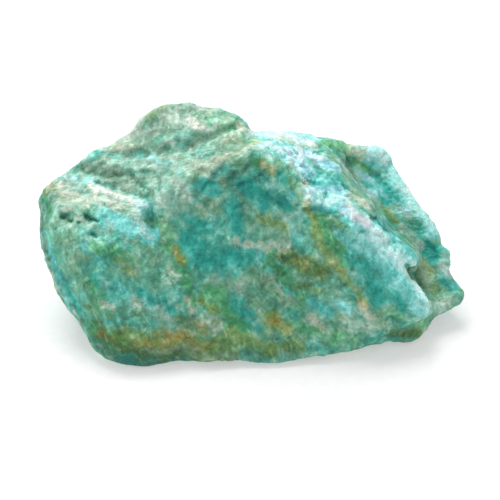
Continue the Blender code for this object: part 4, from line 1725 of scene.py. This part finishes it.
        Mark("edge of the bench", ((62, 178), (110, 188)), 1.0, 0.8),
        Mark("lower left", ((110, 285), (134, 300)), 1.1, 0.5),
        Mark("right of the bench", ((118, 198), (146, 208)), 1.2, 0.9),
        Mark("left of the bench", ((70, 186), (92, 200)), 1.0, 0.6),
        Mark("lip", ((440, 270), (456, 286)), 0.9, 0.6),
        Mark("corner of the terrace", ((424, 244), (438, 260)), 1.0, 0.45),
        Mark("grey spot of the front", ((284, 220), (298, 238)), 0.9, 0.5),
        Mark("bottom right", ((308, 343), (318, 342)), 0.8, 0.4),
        Mark("right of the front", ((338, 304), (350, 312)), 1.1, 0.7),
        Mark("low green front", ((278, 284), (290, 294)), 1.0, 0.5),
        Mark("light patch below the pool", ((258, 204), (276, 210)), 0.9, 0.4),
        Mark("blue of the front", ((252, 246), (268, 270)), 1.2, 0.45),
        Mark("below the emerald spot", ((280, 186), (292, 198)), 0.9, 0.5),
        Mark("under the pools", ((196, 204), (212, 212)), 0.8, 0.4),
        Mark("face of the ridge", ((264, 148), (274, 153), (286, 162)), 0.8, 1.1),
        Mark("back of the far ridge", ((286, 131), (302, 135), (314, 142)), 1.0, 1.2),
    ),
    Layer.ICE: (
        Mark("far ridge", ((262, 133), (304, 140)), 1.1, 1.0),
        Mark("crown of the broken slope", ((280, 148), (296, 156)), 1.0, 0.9),
        Mark("grey of the terrace", ((376, 184), (384, 196)), 0.8, 0.5),
        Mark("lower edge of the terrace wall", ((398, 206), (408, 214)), 0.8, 0.6),
        Mark("lavender patch", ((302, 151), (316, 159)), 1.0, 1.5),
        Mark("blue patch", ((322, 161), (333, 169)), 0.9, 1.5),
        Mark("lower broken slope", ((306, 188), (326, 190), (346, 195)), 0.7, 1.0),
        Mark("middle of the slope", ((298, 164), (312, 174)), 0.9, 1.0),
        Mark("beside the crack", ((138, 222), (149, 236)), 0.9, 0.32),
        Mark("ledge", ((344, 210), (365, 223)), 0.8, 1.2),
        Mark("behind the slope", ((354, 182), (370, 194)), 1.0, 0.9),
        Mark("blue spot of the terrace", ((362, 176), (372, 182)), 0.7, 0.7),
        Mark("right of the ridge", ((296, 164), (304, 178)), 0.8, 0.9),
    ),
    Layer.WORN: (
        Mark("terrace", ((350, 160), (392, 190), (425, 245)), 3.6),
        Mark("terrace wall", ((340, 166), (366, 200), (396, 236)), 1.6),
        Mark("lip", ((420, 280), (450, 290)), 2.0),
        Mark("lobe", ((390, 325), (424, 325)), 1.6, 0.7),
    ),
    Layer.OLIVE: (
        Mark("top of the vein", ((303, 202), (313, 222)), 0.6),
        Mark("upper vein", ((313, 222), (323, 248)), 0.7),
        Mark("middle of the vein", ((323, 248), (342, 274)), 0.8, 0.8),
        Mark("foot of the vein", ((342, 274), (364, 304)), 0.7, 0.6),
        Mark("knob", ((38, 188), (54, 188)), 0.9, 0.8),
        Mark("boulder foot", ((112, 148), (134, 142)), 0.9, 0.65),
        Mark("edge of the boulder", ((150, 116), (166, 106)), 0.9, 0.6),
        Mark("patch below the pool", ((260, 218), (284, 226)), 1.0, 0.7),
        Mark("patch left of the vein", ((286, 254), (322, 272)), 1.3, 0.9),
        Mark("terrace back", ((342, 151), (360, 156)), 0.8, 0.5),
        Mark("terrace wall", ((384, 208), (394, 222)), 0.8, 0.7),
        Mark("dark line of the terrace", ((356, 166), (386, 171)), 0.6, 0.4),
        Mark("end of the terrace", ((420, 267), (428, 288)), 1.5, 1.0),
        Mark("low patch", ((270, 318), (290, 330)), 1.2, 0.9),
        Mark("foot", ((128, 342), (160, 346), (225, 350)), 1.9, 1.2),
        Mark("left of the foot", ((100, 334), (120, 338)), 1.1, 0.7),
        Mark("low bottom", ((272, 346), (300, 346)), 1.1, 0.7),
        Mark("low front", ((200, 300), (214, 310)), 0.8, 0.7),
        Mark("wedge on the brow", ((226, 138), (252, 143)), 1.1, 0.85),
        Mark("bottom", ((230, 335), (270, 350)), 1.3, 0.8),
        Mark("bottom edge", ((162, 354), (226, 354)), 1.2, 0.9),
        Mark("above the ochre", ((180, 322), (214, 328)), 1.2, 0.6),
        Mark("spot on the brow", ((262, 163), (272, 172)), 0.8, 0.8),
        Mark("above the low patch", ((298, 284), (326, 292)), 1.0, 0.45),
        Mark("left of the low left", ((88, 306), (110, 316)), 1.0, 0.45),
        Mark("left of the pools", ((176, 248), (184, 262)), 0.8, 0.8),
        Mark("underside of the lobe", ((390, 332), (424, 334)), 1.0, 0.7),
        Mark("left front", ((120, 262), (136, 276)), 0.9, 0.5),
        Mark("gap by the ledge", ((338, 226), (352, 236)), 0.8, 0.5),
    ),
    Layer.DUST: (
        Mark("veil of the upper left", ((76, 178), (130, 162), (196, 148), (238, 142)), 3.4, 0.5),
        Mark("boulder", ((126, 138), (190, 112)), 2.4, 0.85),
        Mark("boulder foot", ((112, 150), (132, 143)), 0.9),
        Mark("shaded slope", ((84, 168), (130, 184)), 1.6, 0.9),
        Mark("middle slope", ((136, 168), (196, 166)), 1.5, 0.6),
        Mark("wedge on the brow", ((218, 140), (252, 146)), 1.4, 0.6),
        Mark("left of the slope", ((70, 172), (108, 158)), 1.2, 0.6),
        Mark("end of the terrace", ((420, 267), (426, 286)), 1.2, 0.7),
        Mark("behind the slope", ((342, 166), (354, 178)), 1.0, 0.9),
        Mark("terrace wall", ((402, 230), (418, 243)), 1.0, 1.2),
        Mark("middle of the terrace", ((356, 186), (370, 196)), 0.9, 0.6),
        Mark("left edge", ((41, 204), (44, 236), (50, 270)), 0.9, 0.6),
        Mark("knob", ((40, 184), (56, 190)), 0.9, 0.6),
        Mark("right wall", ((340, 158), (350, 172), (362, 190), (378, 208)), 0.9, 0.6),
        Mark("bottom", ((150, 350), (250, 358)), 1.0, 0.6),
        Mark("below the crease", ((160, 184), (184, 208)), 1.8, 0.65),
        Mark("bench", ((58, 190), (120, 203)), 2.0, 0.85),
        Mark("brow", ((188, 170), (212, 163), (230, 154), (250, 147)), 1.0, 0.9),
        Mark("crease under the boulder", ((188, 145), (216, 138)), 0.9, 0.7),
        Mark("low front", ((216, 278), (240, 288)), 1.2, 0.5),
        Mark("left of the pools", ((176, 182), (188, 198)), 1.2, 0.7),
        Mark("corner of the brow", ((238, 128), (251, 136)), 0.9, 0.6),
        Mark("low middle", ((156, 312), (176, 328), (212, 326)), 1.3, 0.55),
        Mark("low right", ((348, 322), (370, 328)), 1.1, 0.5),
        Mark("under the bench", ((78, 222), (108, 230)), 1.0, 0.5),
        Mark("low middle of the front", ((268, 276), (290, 304)), 1.2, 0.55),
    ),
    Layer.CREAM: (
        Mark("left of the bench", ((54, 188), (84, 204)), 1.2, 0.7),
        Mark("bench", ((84, 198), (120, 203)), 1.1, 0.45),
        Mark("back of the bench", ((86, 186), (106, 192)), 0.9, 0.5),
        Mark("right of the bench", ((112, 196), (138, 203)), 0.9, 0.42),
        Mark("spot on the boulder", ((192, 120), (202, 126)), 0.7, 0.9),
        Mark("strip below the crease", ((190, 165), (222, 158)), 0.7, 0.6),
        Mark("strip on the brow", ((222, 158), (250, 150)), 0.6, 0.7),
        Mark("spot under the brow", ((263, 164), (272, 169)), 0.6, 0.6),
        Mark("wedge", ((228, 140), (248, 132)), 0.8, 0.5),
        Mark("low left spot", ((104, 303), (112, 308)), 0.6, 0.9),
        Mark("spot by the ochre", ((170, 268), (176, 276)), 0.6, 0.8),
        Mark("left spot", ((134, 300), (144, 304)), 0.7, 0.6),
        Mark("foot of the vein", ((360, 306), (370, 318)), 0.8, 0.9),
        Mark("low right", ((308, 318), (326, 328)), 0.7, 0.7),
        Mark("under the patch", ((236, 240), (286, 250)), 1.0, 0.65),
        Mark("warm spot", ((200, 207), (212, 214)), 0.7, 0.6),
        Mark("head of the vein", ((300, 196), (310, 210)), 0.5, 0.3),
        Mark("ledge", ((350, 208), (362, 222)), 0.8, 0.4),
        Mark("blob on the broken slope", ((353, 199), (365, 205)), 0.8, 0.95),
        Mark("speck by the ridge", ((302, 182), (308, 187)), 0.5, 0.9),
        Mark("boulder foot", ((113, 142), (128, 146)), 0.8, 0.6),
        Mark("low middle", ((186, 300), (200, 320)), 0.8, 0.5),
        Mark("lip", ((424, 296), (440, 302)), 0.6, 0.6),
        Mark("low left edge", ((52, 276), (62, 292)), 0.8, 0.6),
        Mark("edge of the bench", ((54, 204), (72, 210)), 0.8, 0.5),
        Mark("brow by the crease", ((196, 168), (212, 164)), 0.8, 0.6),
        Mark("corner of the brow", ((238, 126), (252, 134)), 0.8, 0.7),
        Mark("top of the boulder", ((198, 106), (214, 112)), 0.8, 0.6),
        Mark("beside the crack", ((138, 226), (148, 236)), 0.8, 0.25),
        Mark("brow by the pools", ((198, 168), (214, 176)), 0.8, 0.45),
        Mark("low middle of the front", ((268, 278), (286, 300)), 0.9, 0.45),
        Mark("low left edge", ((58, 286), (74, 312)), 0.8, 0.4),
        Mark("edge of the terrace", ((400, 180), (410, 202)), 0.7, 0.2),
        Mark("left of the boulder", ((122, 130), (140, 126)), 0.9, 0.4),
        Mark("foot", ((166, 344), (196, 348)), 0.9, 0.3),
    ),
    Layer.RUST: (
        Mark("ochre at the foot", ((168, 335), (182, 336)), 1.0, 1.1),
        Mark("round the ochre", ((158, 339), (192, 341)), 1.4, 0.5),
        Mark("beside the ochre", ((136, 344), (160, 342)), 0.9, 0.6),
        Mark("beside the foot", ((190, 343), (210, 345)), 0.8, 0.55),
        Mark("left of the foot", ((102, 336), (112, 340)), 0.7, 0.7),
        Mark("spot on the front", ((176, 252), (180, 259)), 0.5, 0.65),
        Mark("in the patch", ((298, 260), (306, 266)), 0.5, 0.7),
        Mark("in the vein", ((332, 262), (342, 272)), 0.6, 0.45),
        Mark("crevice", ((409, 270), (412, 280)), 0.5, 0.9),
        Mark("low patch", ((272, 320), (286, 326)), 0.8, 0.7),
        Mark("foot of the vein", ((358, 300), (366, 306)), 0.5, 0.6),
        Mark("spot above the pools", ((222, 180), (226, 186)), 0.4, 0.6),
        Mark("edge by the outline", ((38, 187), (52, 184)), 0.7, 0.6),
        Mark("brow", ((198, 167), (230, 155), (250, 148)), 0.8, 0.26),
        Mark("low left edge", ((46, 262), (58, 290)), 0.8, 0.25),
        Mark("right of the foot", ((196, 326), (214, 332)), 0.9, 0.4),
        Mark("low left", ((98, 322), (130, 330)), 0.9, 0.33),
        Mark("bottom of the foot", ((164, 348), (200, 350)), 0.8, 0.33),
        Mark("bottom of the low left", ((74, 318), (92, 332)), 0.8, 0.3),
    ),
}


STONE_DRIFTS: tuple[Drift, ...] = (
    Drift("broken faces", Layer.HACKLE, 9.0, 0.12, 0.8, 0.5),
    Drift("worn steps", Layer.SHELVES, 10.0, 0.05, 0.4, 0.5),
    Drift("bleached crust", Layer.PALE, 7.0, 0.2, 0.6),
    # painted shade, laid evenly over all the faces that look away from the front
    Drift("shaded stone", Layer.DEEP, 20.0, -1.2, 0.3),
    Drift("deep crystals", Layer.DEEP, 6.0, 0.0, 0.8),
    Drift("teal pools", Layer.TEAL, 7.0, 0.05, 0.6),
    Drift("leaf green", Layer.LEAF, 8.0, 0.0, 0.55),
    Drift("pale blue", Layer.SKY, 6.0, 0.3, 0.6),
    Drift("pale ice", Layer.ICE, 5.0, 0.5, 0.6),
    Drift("olive", Layer.OLIVE, 8.0, 0.2, 0.52),
    Drift("grey crust", Layer.DUST, 8.0, 0.2, 0.6),
    Drift("cream", Layer.CREAM, 3.0, 0.45, 0.6),
    Drift("iron stain", Layer.RUST, 4.0, 0.5, 0.6),
)


@dataclass(frozen=True)
class Lamp:
    """A square soft lamp that points at the stone.

    Attributes:
        name: Its name.
        place: Where it hangs, in metres.
        size: Its side, in metres.
        power: Its power in watts.
        color: The colour of its light.
        aim: The point that it lights, in metres.
    """

    name: str
    place: Triple
    size: float
    power: float
    color: Color = (1.0, 1.0, 1.0)
    aim: Triple = (0.0, 0.0, 0.01)

    def hang(self) -> None:
        """Makes the lamp."""
        data = bpy.data.lights.new(self.name, "AREA")
        data.energy = self.power
        data.size = self.size
        data.color = self.color
        lamp = bpy.data.objects.new(self.name, data)
        bpy.context.scene.collection.objects.link(lamp)
        lamp.location = self.place
        lamp.rotation_mode = "QUATERNION"
        lamp.rotation_quaternion = (Vector(self.aim) - Vector(self.place)).to_track_quat("-Z", "Y")


@dataclass(frozen=True)
class Studio:
    """A white paper floor, a bright room and soft lamps.

    Attributes:
        floor_size: Side of the floor, in metres.
        room_light: Brightness of the room.
        lamps: The lamps.
    """

    floor_size: float = 6.0
    room_light: float = 0.66
    lamps: tuple[Lamp, ...] = (
        Lamp("overhead", (-0.08, 0.20, 0.42), 0.30, 2.1),
        Lamp("low_left", (-0.42, -0.02, 0.12), 0.16, 0.5),
    )

    def build(self, effects: EffectShelf) -> None:
        """Sets the floor, the room's light and the lamps.

        Args:
            effects: The shared effects, for the floor's paper.
        """
        half = self.floor_size / 2.0
        corners = [(-half, -half, 0.0), (half, -half, 0.0), (half, half, 0.0), (-half, half, 0.0)]
        mesh = bpy.data.meshes.new("floor")
        mesh.from_pydata(corners, [], [(0, 1, 2, 3)])
        mesh.materials.append(PaperFinish().material(effects))
        floor = bpy.data.objects.new("floor", mesh)
        bpy.context.scene.collection.objects.link(floor)
        world = bpy.data.worlds.new("room")
        world.use_nodes = True
        background = world.node_tree.nodes["Background"]
        background.inputs["Color"].default_value = (1.0, 1.0, 1.0, 1.0)
        background.inputs["Strength"].default_value = self.room_light
        bpy.context.scene.world = world
        for lamp in self.lamps:
            lamp.hang()
        bpy.context.scene.view_settings.view_transform = "Standard"


def main() -> None:
    """Builds the stone and its studio."""
    logging.basicConfig(level=logging.INFO, format="%(message)s")
    noise.seed_set(NOISE_SEED)
    effects = EffectShelf()
    view = Viewfinder()
    view.place_camera()
    LOG.info("camera placed")
    stone = BrokenSurface(view, STONE_MARKS, STONE_DRIFTS).build()
    stone.data.materials.append(FeldsparFinish().material(effects))
    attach(stone, "root")
    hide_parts(NODE)
    LOG.info("stone: %d facets", len(stone.data.polygons))
    Studio().build(effects)
    LOG.info("studio set")


if __name__ == "__main__":
    main()
